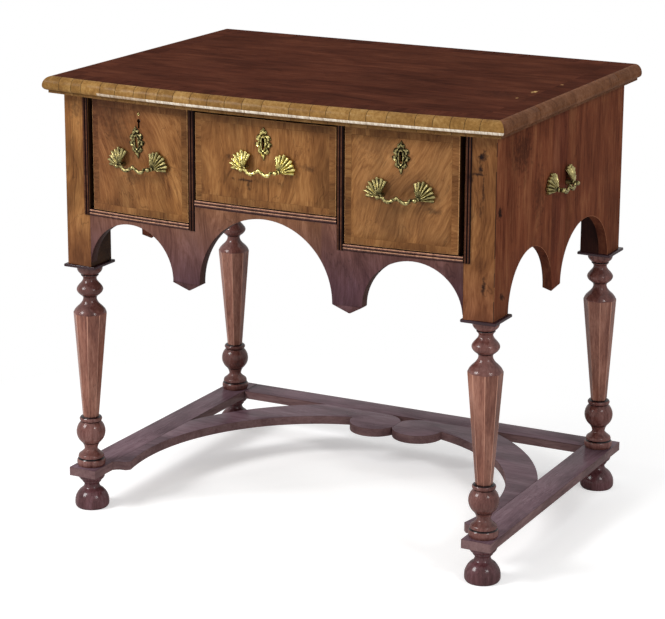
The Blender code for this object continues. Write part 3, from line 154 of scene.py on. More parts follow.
class Nodes:
    """Short ways to add nodes to a material or a world. An input gets a value or another node's output."""

    def __init__(self, owner):
        owner.use_nodes = True
        self.owner = owner
        self.tree = owner.node_tree

    def feed(self, socket, value):
        """Link or set one input."""
        if isinstance(value, bpy.types.NodeSocket):
            self.tree.links.new(value, socket)
        else:
            socket.default_value = value

    def fill(self, node, **inputs):
        """Feed a node's inputs by name."""
        for name, value in inputs.items():
            self.feed(node.inputs[name.replace("_", " ")], value)
        return node

    def put(self, kind, **inputs):
        """A new node, with its inputs fed."""
        return self.fill(self.tree.nodes.new("ShaderNode" + kind), **inputs)

    def work(self, kind, operation, *values, output=0):
        """The outcome of a Math or VectorMath node."""
        made = self.put(kind)
        made.operation = operation
        for socket, value in zip(made.inputs, values):
            self.feed(socket, value)
        return made.outputs[output]

    def vectors(self, operation, *values):
        """The outcome of a VectorMath node."""
        return self.work("VectorMath", operation, *values)

    def length(self, vector):
        """A vector's length."""
        return self.work("VectorMath", "LENGTH", vector, output="Value")

    def scaled(self, value, factor, added=0.0):
        """A value times a factor, and something added."""
        return self.work("Math", "MULTIPLY_ADD", value, factor, added)

    def less(self, value, other):
        """A value less another."""
        return self.work("Math", "SUBTRACT", value, other)

    def clamped(self, value):
        """A value kept between 0 and 1."""
        return self.put("Clamp", Value=value).outputs[0]

    def place(self):
        """The place on the object."""
        return self.put("TexCoord").outputs["Object"]

    def stored(self, name, output="Fac"):
        """A value stored on the mesh."""
        made = self.put("Attribute")
        made.attribute_name = name
        return made.outputs[output]

    def stretched(self, vector, scale, turned_by=(0, 0, 0)):
        """A vector scaled along its axes."""
        return self.put("Mapping", Vector=vector, Scale=scale, Rotation=turned_by).outputs[0]

    def clouds(self, vector, scale, detail=3.0, rough=0.5, bend=0.0):
        """The grey value of a noise texture."""
        made = self.put("TexNoise", Vector=vector, Scale=scale, Detail=detail)
        return self.fill(made, Roughness=rough, Distortion=bend).outputs["Fac"]

    def streaks(self, vector, across, along, detail, rough=0.5, bend=0.0):
        """Noise that is drawn out along the grain."""
        return self.clouds(self.stretched(vector, (across, along, across)), 1.0, detail, rough, bend)

    def shifts(self, vector, scale, detail):
        """Random shifts about zero along the three axes."""
        made = self.put("TexNoise", Vector=vector, Scale=scale, Detail=detail)
        return self.vectors("SUBTRACT", made.outputs["Color"], (0.5, 0.5, 0.5))

    def ramp(self, value, *stops):
        """A colour ramp through stops of (place, colour or grey)."""
        made = self.put("ValToRGB", Fac=value)
        points = made.color_ramp.elements
        while len(points) < len(stops):
            points.new(0.5)
        for point, (place, shown) in zip(points, stops):
            point.position = place
            point.color = shown if isinstance(shown, tuple) else (shown, shown, shown, 1.0)
        return made.outputs["Color"]

    def blend(self, share, first, second, way="MIX"):
        """Two colours mixed."""
        made = self.put("Mix")
        made.data_type = "RGBA"
        made.blend_type = way
        for index, value in ((0, share), (6, first), (7, second)):
            self.feed(made.inputs[index], value)
        return made.outputs[2]

    def mixed(self, share, first, second):
        """Two shaders mixed."""
        made = self.put("MixShader", Fac=share)
        self.feed(made.inputs[1], first)
        self.feed(made.inputs[2], second)
        return made.outputs[0]

    def spotted(self, base, spots):
        """Knots, stains and chips. A spot has a place, reaches, a strength and perhaps a colour."""
        here = self.place()
        ragged = self.shifts(here, 130.0, 3.0)
        for place, reach, strength, *ink in spots:
            away = self.vectors("DIVIDE", self.vectors("SUBTRACT", here, place), reach)
            away = self.vectors("MULTIPLY_ADD", ragged, (2.6, 2.6, 2.6), away)
            mask = self.ramp(self.length(away), (0.30, strength), (1.0, 0.0))
            base = self.blend(mask, base, ink[0] if ink else colour(30, 18, 16))
        return base

    def finish(self, **inputs):
        """Feed the material's own shader."""
        self.fill(self.tree.nodes["Principled BSDF"], **inputs)
        return self.owner


REDDER = (0.60, 0.42, 0.66, 1.0)
MORE_PURPLE = (0.62, 0.60, 1.15, 1.0)
APRON_PURPLE = (0.70, 0.72, 1.75, 1.0)
MORE_GOLDEN = (1.35, 1.22, 0.92, 1.0)
# A near black for painted shade and for dirt
SHADE_AND_DIRT = colour(14, 7, 12)


def wood(name, tones, bend=0.03, gloss=0.30, coat=0.1, smoke=0.3, veins=0.3, contrast=1.0, dusk=REDDER,
         spots=(), wear_and_highlight_colour=None, kept=None):
    """An old wood in a deep, a middle and a pale tone. Its grain runs along the stored grain's second axis.

    For solids that are kept, the grain comes from the object's own axes, turned by the angles in kept.
    """
    n = Nodes(bpy.data.materials.new(name))
    deep, middle, pale = (colour(*shown) for shown in tones)
    tone = n.stored("tone") if kept is None else 0.5
    laid = n.stored("grain", "Vector") if kept is None else n.stretched(n.place(), (1, 1, 1), kept)
    seed = n.put("CombineXYZ", X=n.scaled(tone, 3.1), Y=n.scaled(tone, 7.7)).outputs[0]
    place = n.vectors("ADD", laid, seed)
    drift = n.shifts(n.stretched(place, (9, 5, 9)), 1.0, 2.0)
    bent = n.vectors("MULTIPLY_ADD", drift, (bend, bend, bend), place)
    figure = n.streaks(bent, 34, 8, 5.0, 0.55, 0.7)
    streak = n.streaks(bent, 250, 12, 4.0, 0.6)
    pores = n.streaks(place, 1500, 60, 2.0)
    value = n.scaled(pores, 0.24, n.scaled(figure, 0.44, n.scaled(streak, 0.32)))
    wide = 0.15 / contrast
    base = n.ramp(value, (0.5 - wide, deep), (0.5, middle), (0.5 + wide, pale))
    cloud = n.streaks(bent, 13, 7, 3.0, 0.5, 0.3)
    base = n.blend(n.ramp(cloud, (0.28, smoke), (0.52, 0.0)), base, tuned(deep, 0.55))
    vein = n.streaks(bent, 20, 4, 4.0, 0.6, 0.6)
    crack = n.ramp(n.work("Math", "ABSOLUTE", n.less(vein, 0.5)), (0.0, veins), (0.008, 0.0))
    base = n.blend(crack, base, tuned(deep, 0.35))
    tint = n.stored("tint")
    base = n.blend(n.clamped(tint), base, dusk, "MULTIPLY")
    base = n.blend(n.clamped(n.scaled(tint, -1.0)), base, MORE_GOLDEN, "MULTIPLY")
    lift = n.scaled(tone, 0.8, n.scaled(cloud, 0.5, 0.35))
    lifted = n.put("HueSaturation", Color=n.spotted(base, spots), Value=lift).outputs[0]
    # The stored shade paints light: above 0 it darkens the wood towards near black, for painted shade and
    # for dirt; below 0 it pales the streaks, for painted highlights and for wear.
    shade = n.stored("shade")
    painted_light_dirt_and_wear = n.clamped(n.scaled(shade, n.scaled(cloud, 0.5, 0.75)))
    highlight_and_wear = n.clamped(n.scaled(n.scaled(shade, -1.0), n.scaled(streak, 2.4, -0.4)))
    shown = n.blend(highlight_and_wear, n.blend(painted_light_dirt_and_wear, lifted, SHADE_AND_DIRT), wear_and_highlight_colour or tuned(pale, 1.7, 0.04))
    smear = n.clouds(n.stretched(place, (22, 22, 22)), 1.0, 4.0, 0.6)
    rough = n.scaled(smear, 0.20, n.scaled(pores, 0.12, gloss - 0.14))
    rough = n.scaled(highlight_and_wear, 0.25, rough)
    relief = n.scaled(smear, 1.2, n.scaled(pores, 0.4, streak))
    bump = n.put("Bump", Height=relief, Strength=0.30, Distance=0.0004).outputs[0]
    return n.finish(
        Base_Color=shown, Roughness=rough, Coat_Roughness=rough, Specular_IOR_Level=0.0, Coat_Weight=coat,
        Normal=bump, Coat_Normal=bump,
    )


def metal(name, bright, dull, gloss, reach):
    """A cast metal that is dark where it is hollow."""
    n = Nodes(bpy.data.materials.new(name))
    place = n.place()
    hollow = n.scaled(n.clouds(place, 420.0, 4.0, 0.65), 0.6, n.less(n.stored("shade"), 0.3))
    share = n.ramp(hollow, (0.12, 0.0), (0.12 + reach, 1.0))
    bump = n.put("Bump", Height=n.clouds(place, 900.0, 3.0, 0.6), Strength=0.25, Distance=0.0003).outputs[0]
    shown = n.blend(share, colour(*bright), colour(*dull))
    return n.finish(Base_Color=shown, Metallic=1.0, Roughness=n.scaled(share, 0.3, gloss), Normal=bump)


SPOT_DEPTH = 0.05
# Spots on the front: x and z, the reaches across and up, and the strength
FRONT_SPOTS = [
    ((x, FRONT - bow(x), z), (wide, SPOT_DEPTH, tall), strength)
    for x, z, wide, tall, strength in (
        (0.3578, 0.6794, 0.0085, 0.0110, 1.0),
        (0.3562, 0.6620, 0.0045, 0.0120, 0.95),
        (0.3500, 0.6525, 0.0140, 0.0030, 0.90),
        (0.3420, 0.6450, 0.0050, 0.0070, 0.80),
        (0.3610, 0.6280, 0.0026, 0.0300, 0.75),
        (0.3570, 0.5960, 0.0022, 0.0180, 0.55),
        (0.3640, 0.4800, 0.0046, 0.0140, 0.90),
        (-0.0370, 0.6070, 0.0200, 0.0036, 0.85),
        (-0.0270, 0.5990, 0.0040, 0.0100, 0.75),
        (-0.0621, 0.6401, 0.0060, 0.0060, 0.65),
        (0.0750, 0.6374, 0.0130, 0.0060, 0.50),
        (0.0073, 0.6000, 0.0012, 0.0500, 0.50),
        (0.2571, 0.6052, 0.0220, 0.0110, 0.70),
        (0.2781, 0.5917, 0.0220, 0.0070, 0.60),
        (-0.2459, 0.5866, 0.0240, 0.0120, 0.40),
        (-0.2920, 0.6900, 0.0600, 0.0500, 0.35),
        (-0.3564, 0.6850, 0.0160, 0.0220, 0.45),
        (0.1950, 0.6850, 0.0500, 0.0300, 0.25),
    )
]
# Spots on the right-hand side: y and z, the reaches along and up, and the strength
SIDE_SPOTS = [
    ((HALF_CASE, y, z), (SPOT_DEPTH, wide, tall), strength)
    for y, z, wide, tall, strength in (
        (-0.2354, 0.5932, 0.0130, 0.0100, 0.95),
        (-0.1527, 0.6709, 0.0500, 0.0400, 0.50),
        (-0.0802, 0.5899, 0.0260, 0.0500, 0.40),
        (-0.2200, 0.4600, 0.0110, 0.0070, 0.80),
    )
]
# The chips near the top's right-hand end, and the stain beside them
TOP_SPOTS = (
    ((0.3451, -0.0287, HEIGHT), (0.0050, 0.0110, SPOT_DEPTH), 1.0, colour(196, 160, 104)),
    ((0.3422, -0.0891, HEIGHT), (0.0030, 0.0050, SPOT_DEPTH), 0.9, colour(170, 130, 86)),
    ((0.3600, 0.0503, HEIGHT), (0.0030, 0.0050, SPOT_DEPTH), 0.9, colour(170, 130, 86)),
    ((0.3100, -0.0700, HEIGHT), (0.0600, 0.0300, SPOT_DEPTH), 0.3),
)
TOP_WOOD = wood(
    "top_veneer", ((54, 26, 18), (75, 39, 27), (94, 53, 37)), 0.04, 0.30, 0.022, spots=TOP_SPOTS
)
CASE_WOOD = wood(
    "side_veneer", ((74, 36, 24), (112, 62, 41), (140, 90, 60)), 0.008, 0.36, 0.06, spots=SIDE_SPOTS
)
# The back's dark colours are partly its plain unpolished wood and partly painted shade, as it is seen
# inside the case.
BACK_WOOD = wood(
    "unpolished_back_and_painted_shade", ((44, 30, 26), (70, 50, 40), (92, 70, 54)), 0.01, 0.7, 0.0, 0.4, 0.4,
    kept=(0, 0, math.pi / 2),
)
FRONT_WOOD = wood(
    "front_veneer", ((88, 52, 27), (132, 88, 49), (166, 120, 72)), 0.09, 0.28, 0.16, 0.5, 0.45,
    spots=FRONT_SPOTS,
)
APRON_WOOD = wood(
    "apron_veneer", ((78, 45, 32), (118, 79, 54), (150, 108, 80)), 0.12, 0.28, 0.16, 0.5, 0.4, 0.8,
    dusk=APRON_PURPLE,
)
# The moulding's near-white pale colour is for the painted highlight along its nose.
EDGE_WOOD = wood(
    "moulding_veneer", ((88, 58, 28), (134, 98, 52), (170, 136, 84)), 0.01, 0.26, 0.12, 0.1, 0.1, 0.8,
    wear_and_highlight_colour=colour(246, 236, 220),
)
TURNED_WOOD = wood(
    "turned_walnut", ((82, 43, 34), (130, 83, 66), (168, 121, 100)), 0.012, 0.13, 0.50, 0.4, 0.3,
    dusk=MORE_PURPLE,
)
RAIL_WOOD = wood(
    "stretcher_walnut", ((80, 56, 60), (114, 88, 92), (140, 114, 116)), 0.03, 0.22, 0.25, 0.5, 0.3, 0.8,
    dusk=MORE_PURPLE,
)
OAK = wood("plain_oak", ((92, 66, 42), (140, 106, 72), (168, 134, 96)), 0.01, 0.6, 0.02, kept=(0, 0, 0))
BRASS = metal("cast_brass", (216, 202, 130), (58, 46, 20), 0.26, 0.6)
DULL_BRASS = metal("dull_brass", (160, 148, 100), (34, 29, 18), 0.34, 0.55)
IRON = metal("dark_iron", (96, 90, 84), (30, 26, 24), 0.45, 0.6)


# Mesh tools


def loft(rings, ends=True, closed=False):
    """A bmesh through rings of equally many points. A closed one joins its last ring to its first."""
    mesh = bmesh.new()
    loops = [[mesh.verts.new(point) for point in ring] for ring in rings]
    for lower, upper in zip(loops, loops[1:] + (loops[:1] if closed else [])):
        count = len(lower)
        for k in range(count):
            mesh.faces.new((lower[k], lower[(k + 1) % count], upper[(k + 1) % count], upper[k]))
    if ends and not closed:
        mesh.faces.new(list(reversed(loops[0])))
        mesh.faces.new(loops[-1])
    bmesh.ops.recalc_face_normals(mesh, faces=mesh.faces)
    return mesh


def prism(points, low, high, axis="Z"):
    """A bmesh of an outline drawn square to an axis and drawn out along it."""
    place = {
        "X": lambda a, b, c: (c, a, b),
        "Y": lambda a, b, c: (a, c, b),
        "Z": lambda a, b, c: (a, b, c),
    }[axis]
    return loft([[place(a, b, level) for a, b in points] for level in (low, high)])


def box(low, high):
    """A bmesh of a plain block between two corners."""
    corners = [(low[0], low[1]), (high[0], low[1]), (high[0], high[1]), (low[0], high[1])]
    return prism(corners, low[2], high[2])


def join(base, *others):
    """Put other bmeshes into the first, as closed shells of their own."""
    for other in others:
        data = bpy.data.meshes.new("part")
        other.to_mesh(data)
        other.free()
        base.from_mesh(data)
        bpy.data.meshes.remove(data)
    return base


def show(name, mesh):
    """A new object in the scene from a bmesh, which is used up."""
    data = bpy.data.meshes.new(name)
    mesh.to_mesh(data)
    mesh.free()
    return link(name, data)


def link(name, data):
    """A new object in the scene from its data."""
    made = bpy.data.objects.new(name, data)
    bpy.context.scene.collection.objects.link(made)
    return made


def cut(base, tool):
    """Cut a tool out of a base. Both are bmeshes."""
    held = [show("held", mesh) for mesh in (base, tool)]
    change = held[0].modifiers.new("cut", "BOOLEAN")
    change.operation = "DIFFERENCE"
    change.solver = "EXACT"
    change.object = held[1]
    shown = held[0].evaluated_get(bpy.context.evaluated_depsgraph_get())
    result = bmesh.new()
    result.from_mesh(shown.to_mesh())
    shown.to_mesh_clear()
    for thing in held:
        data = thing.data
        bpy.data.objects.remove(thing, do_unlink=True)
        bpy.data.meshes.remove(data)
    return result


def soften(mesh, width=ARRIS_WIDTH, segments=2, angle=35.0):
    """Round the sharp edges of a bmesh."""
    sharp = []
    for edge in mesh.edges:
        if len(edge.link_faces) == 2 and edge.calc_face_angle(0) > math.radians(angle):
            sharp.append(edge)
    bmesh.ops.bevel(
        mesh, geom=sharp, offset=width, segments=segments, profile=0.6, affect="EDGES", clamp_overlap=True
    )
    return mesh


def mirror(mesh):
    """A copy of a bmesh mirrored from right to left."""
    copy = mesh.copy()
    bmesh.ops.scale(copy, vec=(-1, 1, 1), verts=copy.verts)
    bmesh.ops.reverse_faces(copy, faces=copy.faces)
    return copy


def move(mesh, matrix):
    """Move a bmesh by a matrix."""
    bmesh.ops.transform(mesh, matrix=matrix, verts=mesh.verts)
    return mesh


def split(mesh, axis, values):
    """Cut a bmesh's faces along planes square to an axis."""
    for value in values:
        everything = mesh.verts[:] + mesh.edges[:] + mesh.faces[:]
        bmesh.ops.bisect_plane(mesh, geom=everything, plane_co=axis * value, plane_no=axis)
    return mesh


def bow_front(mesh, limit):
    """Bring the edge in front of a limit forward to the bowed face."""
    for vertex in mesh.verts:
        if vertex.co.y < limit:
            vertex.co.y -= bow(vertex.co.x)
    return mesh


def lay_grain(mesh, zone):
    """Store each corner's place in its board's grain, its tone, its shade and its tint.

    A zone gives a face's grain directions, its tone, its shade (above 0 painted shade and dirt, below 0
    painted highlights and wear) and, where it has one, its tint (redder above 0, more golden below).
    """
    grain = mesh.loops.layers.float_vector.new("grain")
    tone, shade, tint = (mesh.loops.layers.float.new(name) for name in ("tone", "shade", "tint"))
    for face in mesh.faces:
        along, across, value, painted_light_dirt_and_wear, *rest = zone(face)
        hue = rest[0] if rest else 0.0
        depth = across.cross(along)
        for loop in face.loops:
            place = loop.vert.co
            loop[grain] = Vector((place.dot(across), place.dot(along), place.dot(depth)))
            loop[tone] = value
            loop[shade] = painted_light_dirt_and_wear(place) if callable(painted_light_dirt_and_wear) else painted_light_dirt_and_wear
            loop[tint] = hue(place) if callable(hue) else hue


def plain(along, across, tone, shade=0.0, tint=0.0):
    """A zone for a piece of solid wood."""
    return lambda face: (along, across, tone, shade, tint)


def add(name, mesh, finish, body, node, zone=None, round_angle=32.0):
    """Finish a piece: its mesh, its material, the body it rides on and the node it stands for."""
    if zone:
        lay_grain(mesh, zone)
    made = show(name, mesh)
    made.data.materials.append(finish)
    made.data.shade_smooth()
    made.data.set_sharp_from_angle(angle=math.radians(round_angle))
    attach(made, body)
    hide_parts(node)


def add_pair(name, mesh, finish, node, zone):
    """Add a piece of the case on the right and its mirror image on the left."""
    for side in ("left", "right"):
        shown = mirror(mesh) if side == "left" else mesh
        add(name + side, shown, finish, "case", node + side, zone)


# The case


def bead_profile():
    """The double bead's outline: across its strip, and out from the surface."""
    half = (BEAD_WIDTH - 2 * GAP) / 4
    points = [(GAP, -0.002), (GAP, 0.0)]
    for middle in (GAP + half, GAP + 3 * half):
        points += arc((middle, 0.0), (half, BEAD_PROJECTION), 180, 0, 8)[1:]
    return points + [(BEAD_WIDTH - GAP, -0.002)]


def level_bead(low_x, high_x, bottom):
    """A double bead that runs along the bowed front."""
    rings = []
    for x in steps(low_x, high_x, 24):
        rings.append([(x, FRONT - bow(x) - out, bottom + across) for across, out in bead_profile()])
    return loft(rings)


def upright_bead(low_x):
    """A double bead that stands on the bowed front."""
    face = FRONT - bow(low_x + BEAD_WIDTH / 2)
    rings = []
    for z in steps(OUTER_BEAD_BOTTOM + GAP, BOARD_TOP - GAP, 6):
        rings.append([(low_x + across, face - out, z) for across, out in bead_profile()])
    return loft(rings)


def bead_shade(face):
    """Painted shade in a bead's hollows, lighter painted shade on its crowns, and a painted highlight along
    its upper edge.
    """
    if 0.45 < face.normal.z < 0.9 and face.normal.y < -0.4:
        return -0.85
    if face.normal.y < -0.93:
        return 0.30
    return 0.85 if face.normal.y < -0.6 else 1.1


def upright_bead_zone(face):
    """The zone of an upright bead's face, or nothing for a face that isn't on one."""
    middle = face.calc_center_median()
    if middle.y < FRONT - bow(middle.x) - 0.00005:
        return X_AXIS, Z_AXIS, 0.18 + 0.08 * math.sin(middle.z * 80), bead_shade(face), 0.8
    return None


def pyramid(x, y, half_x, half_y, drop):
    """The low pyramid that ends a pendant."""
    rings = []
    for height, share in ((CASE_BOTTOM - drop, 0.05), (CASE_BOTTOM - 0.0009, 0.99), (CASE_BOTTOM, 1.0)):
        corners = ((-share, -share), (share, -share), (share, share), (-share, share))
        rings.append([(x + a * half_x, y + b * half_y, height) for a, b in corners])
    return loft(rings)


def arch_height(x, middle, half_width, rise):
    """The height of an arch at x, or the case's bottom outside it."""
    share = (x - middle) / half_width
    if abs(share) >= 1:
        return CASE_BOTTOM
    return CASE_BOTTOM + rise * math.sqrt(1 - share**2)


def apron_bottom(x):
    """The height of the front apron's lower edge."""
    x = abs(x)
    if x < CENTRE_ARCH_HALF:
        return arch_height(x, 0, CENTRE_ARCH_HALF, CENTRE_ARCH_RISE)
    return arch_height(x, OUTER_ARCH_MIDDLE, OUTER_ARCH_HALF, OUTER_ARCH_RISE)


def stepped(x, play, inside, between, outside):
    """A height in the middle, behind the partitions and beyond them, with some play beside those."""
    if abs(x) < PARTITION_LOW - play:
        return inside
    return outside if abs(x) > PARTITION_HIGH + play else between


def beside_steps(play):
    """Places just beside each step of such a height."""
    places = []
    for jump in (PARTITION_LOW - play, PARTITION_HIGH + play):
        for step in (-0.00005, 0.00005):
            places += [jump + step, -jump - step]
    return places


def bowed_slab(sections, front=FRONT):
    """A slab with a bowed front, from sections of (x, lowest z, highest z, y of the back)."""
    rings = []
    for x, low, high, rear in sections:
        face = front - bow(x)
        rings.append([(x, face, low), (x, rear, low), (x, rear, high), (x, face, high)])
    return loft(rings)


def apron_hollow():
    """A cutter that leaves the apron's arches an even thickness behind their bowed face."""
    end = POST_INNER + 0.01
    levels = (CENTRE_BEAD_BOTTOM - APRON_REST, PARTITION_BOTTOM, OUTER_BEAD_BOTTOM - APRON_REST)
    sections = []
    for x in sorted({*steps(-end, end, 41), *beside_steps(APRON_REST)}):
        sections.append((x, CASE_BOTTOM - 0.01, stepped(x, APRON_REST, *levels), APRON_BACK + 0.01))
    return bowed_slab(sections, FRONT + APRON_EDGE)


def apron_shade(place):
    """Darker low down on the apron."""
    return max(0.0, 0.42 - (place.z - CASE_BOTTOM) * 3.5)


def apron_tint(place):
    """Golden below the drawers, purple-brown low down on the apron and on its right."""
    return 0.95 - (place.z - CASE_BOTTOM) * 7.0 + (0.25 if place.x > 0.10 else 0.0)


def apron_zone(face):
    """The front apron's grain: its beads, its pyramids, its arches' edges and its face."""
    middle = face.calc_center_median()
    bead_bottom = CENTRE_BEAD_BOTTOM if abs(middle.x) < PARTITION_LOW else OUTER_BEAD_BOTTOM
    if middle.z > bead_bottom:
        return Z_AXIS, X_AXIS, 0.20 + 0.06 * math.sin(middle.x * 90), bead_shade(face), 0.6
    if middle.z < CASE_BOTTOM - 0.0001:
        return Z_AXIS, X_AXIS, 0.32, 0.30, 0.8
    # Faces that don't face forward, such as the arches' undersides, get painted shade; the small bevels
    # along the arches' front edges get a painted highlight.
    if face.normal.y > -0.5:
        lit_edge = face.calc_area() < 1.2e-5 and middle.y < FRONT - 0.004
        return Z_AXIS, X_AXIS, 0.30, -0.35 if lit_edge else 0.6, 0.5
    return (Z_AXIS + 0.8 * X_AXIS).normalized(), X_AXIS, 0.52, apron_shade, apron_tint


def make_apron():
    """The front apron: three arches, two pendants and the beads below the drawers."""
    end = POST_INNER - GAP
    places = {0.0, CENTRE_ARCH_HALF, OUTER_ARCH_LOW, end, *beside_steps(GAP)}
    places.update(x for x, _ in arc((0.0, 0.0), (CENTRE_ARCH_HALF, 0.0), 0, 90, 26)[1:-1])
    for x, _ in arc((OUTER_ARCH_MIDDLE, 0.0), (OUTER_ARCH_HALF, 0.0), 0, 180, 36)[1:-1]:
        places.add(min(x, end))
    levels = (CENTRE_BEAD_TOP, OUTER_BEAD_BOTTOM - GAP, OUTER_BEAD_TOP)
    sections = []
    for x in sorted({-x for x in places} | places):
        sections.append((x, apron_bottom(x), stepped(x, GAP, *levels), APRON_BACK))
    apron = soften(cut(bowed_slab(sections), apron_hollow()))
    split(apron, Z_AXIS, steps(CASE_BOTTOM + 0.01, CENTRE_BEAD_BOTTOM - 0.001, 9))
    centre = PARTITION_LOW - 2 * GAP
    join(apron, level_bead(-centre, centre, CENTRE_BEAD_BOTTOM))
    for side in (-1, 1):
        ends = sorted((side * (PARTITION_HIGH + 2 * GAP), side * (POST_INNER - 2 * GAP)))
        x = side * FRONT_PENDANT_X
        middle = FRONT - bow(x) + APRON_EDGE / 2
        join(apron, level_bead(*ends, OUTER_BEAD_BOTTOM))
        join(apron, pyramid(x, middle, FRONT_PENDANT_WIDTH / 2, APRON_EDGE / 2, PENDANT_DROP))
    add("apron_front_face", apron, APRON_WOOD, "case", "apron_front", apron_zone)


def stile_zone(face):
    """A corner's front veneer: golden above, redder low down, and redder and darker on the right."""
    right = face.calc_center_median().x > 0

    def tint(place):
        low = max(0.0, 0.60 - (place.z - CASE_BOTTOM) * 5.0)
        return low + (0.22 if right else -0.10)

    return Z_AXIS, X_AXIS, 0.46 if right else 0.58, 0.05, tint


def make_stiles():
    """The front corner posts, each with the bead beside its drawer."""
    sections = []
    for x in (POST_INNER, 0.352, SIDE_INNER - GAP):
        sections.append((x, CASE_BOTTOM, BOARD_TOP, FRONT + POST_DEPTH))
    stile = soften(bowed_slab(sections), GAP, 1)
    split(stile, Z_AXIS, steps(CASE_BOTTOM + 0.01, BOARD_TOP - 0.01, 12))
    join(stile, upright_bead(POST_INNER))

    def zone(face):
        # The post's faces that don't face forward, in the drawer's gap, get painted shade.
        if face.normal.y > -0.5 and not upright_bead_zone(face):
            return X_AXIS, Z_AXIS, 0.3, 0.8
        return upright_bead_zone(face) or stile_zone(face)

    add_pair("stile_face_", stile, FRONT_WOOD, "front_stile_", zone)


# Both edges of the two glue lines in a case side
SIDE_SEAMS = (-0.0289, -0.0283, 0.0287, 0.0293)


def make_sides():
    """The case sides with their arches and pendants, the rear posts, the runners and the guides."""
    front_end = FRONT + POST_DEPTH
    back_end = BACK - POST_DEPTH
    pendant = SIDE_PENDANT_WIDTH / 2
    inner = FRONT + VENEER + GAP / 3
    outline = [(inner, BOARD_TOP), (inner, CASE_BOTTOM)]
    for near, far in ((front_end, SIDE_MIDDLE - pendant), (SIDE_MIDDLE + pendant, back_end)):
        outline += arc(((near + far) / 2, CASE_BOTTOM), ((far - near) / 2, SIDE_ARCH_RISE), 180, 0, 32)
    outline += [(BACK, CASE_BOTTOM), (BACK, BOARD_TOP)]
    panel = soften(bow_front(prism(outline, SIDE_INNER, HALF_CASE, "X"), inner + GAP))
    split(panel, Y_AXIS, SIDE_SEAMS)
    split(panel, Z_AXIS, steps(CASE_BOTTOM + 0.02, BOARD_TOP - 0.02, 6))
    thick = (HALF_CASE - SIDE_INNER) / 2
    join(panel, pyramid(SIDE_INNER + thick, SIDE_MIDDLE, thick, pendant, SIDE_PENDANT_DROP))
    post = box((POST_INNER, back_end, CASE_BOTTOM), (SIDE_INNER, BACK_INNER - GAP, BOARD_TOP))
    join(panel, soften(post, 0.0005))
    runner_top = OUTER_DRAWER_BOTTOM + DRAWER_PLAY - GAP
    runner_low = OUTER_HIGH - RUNNER_REACH
    guide_low, guide_high = OUTER_HIGH + DRAWER_PLAY, POST_INNER - GAP
    runner = [
        (runner_low, runner_top - RUNNER_HEIGHT),
        (SIDE_INNER, runner_top - RUNNER_HEIGHT),
        (SIDE_INNER, runner_top),
        (guide_high, runner_top),
        (guide_high, runner_top + RUNNER_HEIGHT),
        (guide_low, runner_top + RUNNER_HEIGHT),
        (guide_low, runner_top),
        (runner_low, runner_top),
    ]
    join(panel, prism(runner, front_end + GAP, back_end, "Y"))

    def shade(place):
        return max(0.0, 0.22 - (place.z - CASE_BOTTOM) * 2.2)

    def zone(face):
        middle = face.calc_center_median()
        # Inside the case, the runners, guides, rear posts and the panel's inner face get painted shade.
        if abs(middle.x) < SIDE_INNER - 0.0005 and middle.y < back_end - 0.001:
            return Y_AXIS, X_AXIS, 0.3, 0.85
        if abs(middle.x) < SIDE_INNER + 0.001:
            return Z_AXIS, Y_AXIS, 0.25, 0.85
        # Faces that face neither out nor in, such as the arches' undersides, get painted shade.
        if abs(face.normal.x) < 0.5:
            return Z_AXIS, Y_AXIS, 0.35, 0.3, 0.3
        strip = sum(middle.y > edge for edge in SIDE_SEAMS)
        if strip in (1, 3):
            return Z_AXIS, Y_AXIS, 0.35, 0.75, 0.3
        if strip == 2:
            return Z_AXIS, Y_AXIS, 0.46, 0.0, 0.40
        # The small bevels along the arches are pale: partly wear, partly a painted highlight.
        if 0.3 < abs(face.normal.x) < 0.97 and middle.z < CASE_BOTTOM + SIDE_ARCH_RISE + 0.002:
            return Z_AXIS, Y_AXIS, 0.6, -0.6, 0.0
        return Z_AXIS, Y_AXIS, 0.5, shade, 0.08 if strip == 4 else 0.02

    add_pair("side_face_", panel, CASE_WOOD, "side_panel_", zone)


def make_side_edges():
    """The front veneer on the front edges of the case sides."""
    eased = 0.0008
    rings = []
    for x in (SIDE_INNER - GAP, 0.373, HALF_CASE - eased, HALF_CASE):
        face = FRONT - bow(x) + (eased if x == HALF_CASE else 0.0)
        back = FRONT - bow(x) + VENEER
        low, high = CASE_BOTTOM, BOARD_TOP
        rings.append([(x, face, low), (x, back, low), (x, back, high), (x, face, high)])
    edge = split(loft(rings), Z_AXIS, steps(CASE_BOTTOM + 0.01, BOARD_TOP - 0.01, 12))

    def zone(face):
        if abs(face.normal.x) > 0.3:
            joint = math.sin(face.calc_center_median().z * 130) > -0.4
            return Z_AXIS, X_AXIS, 0.4, 0.85 if joint else 0.2
        return stile_zone(face)

    add_pair("side_edge_", edge, FRONT_WOOD, "side_panel_", zone)


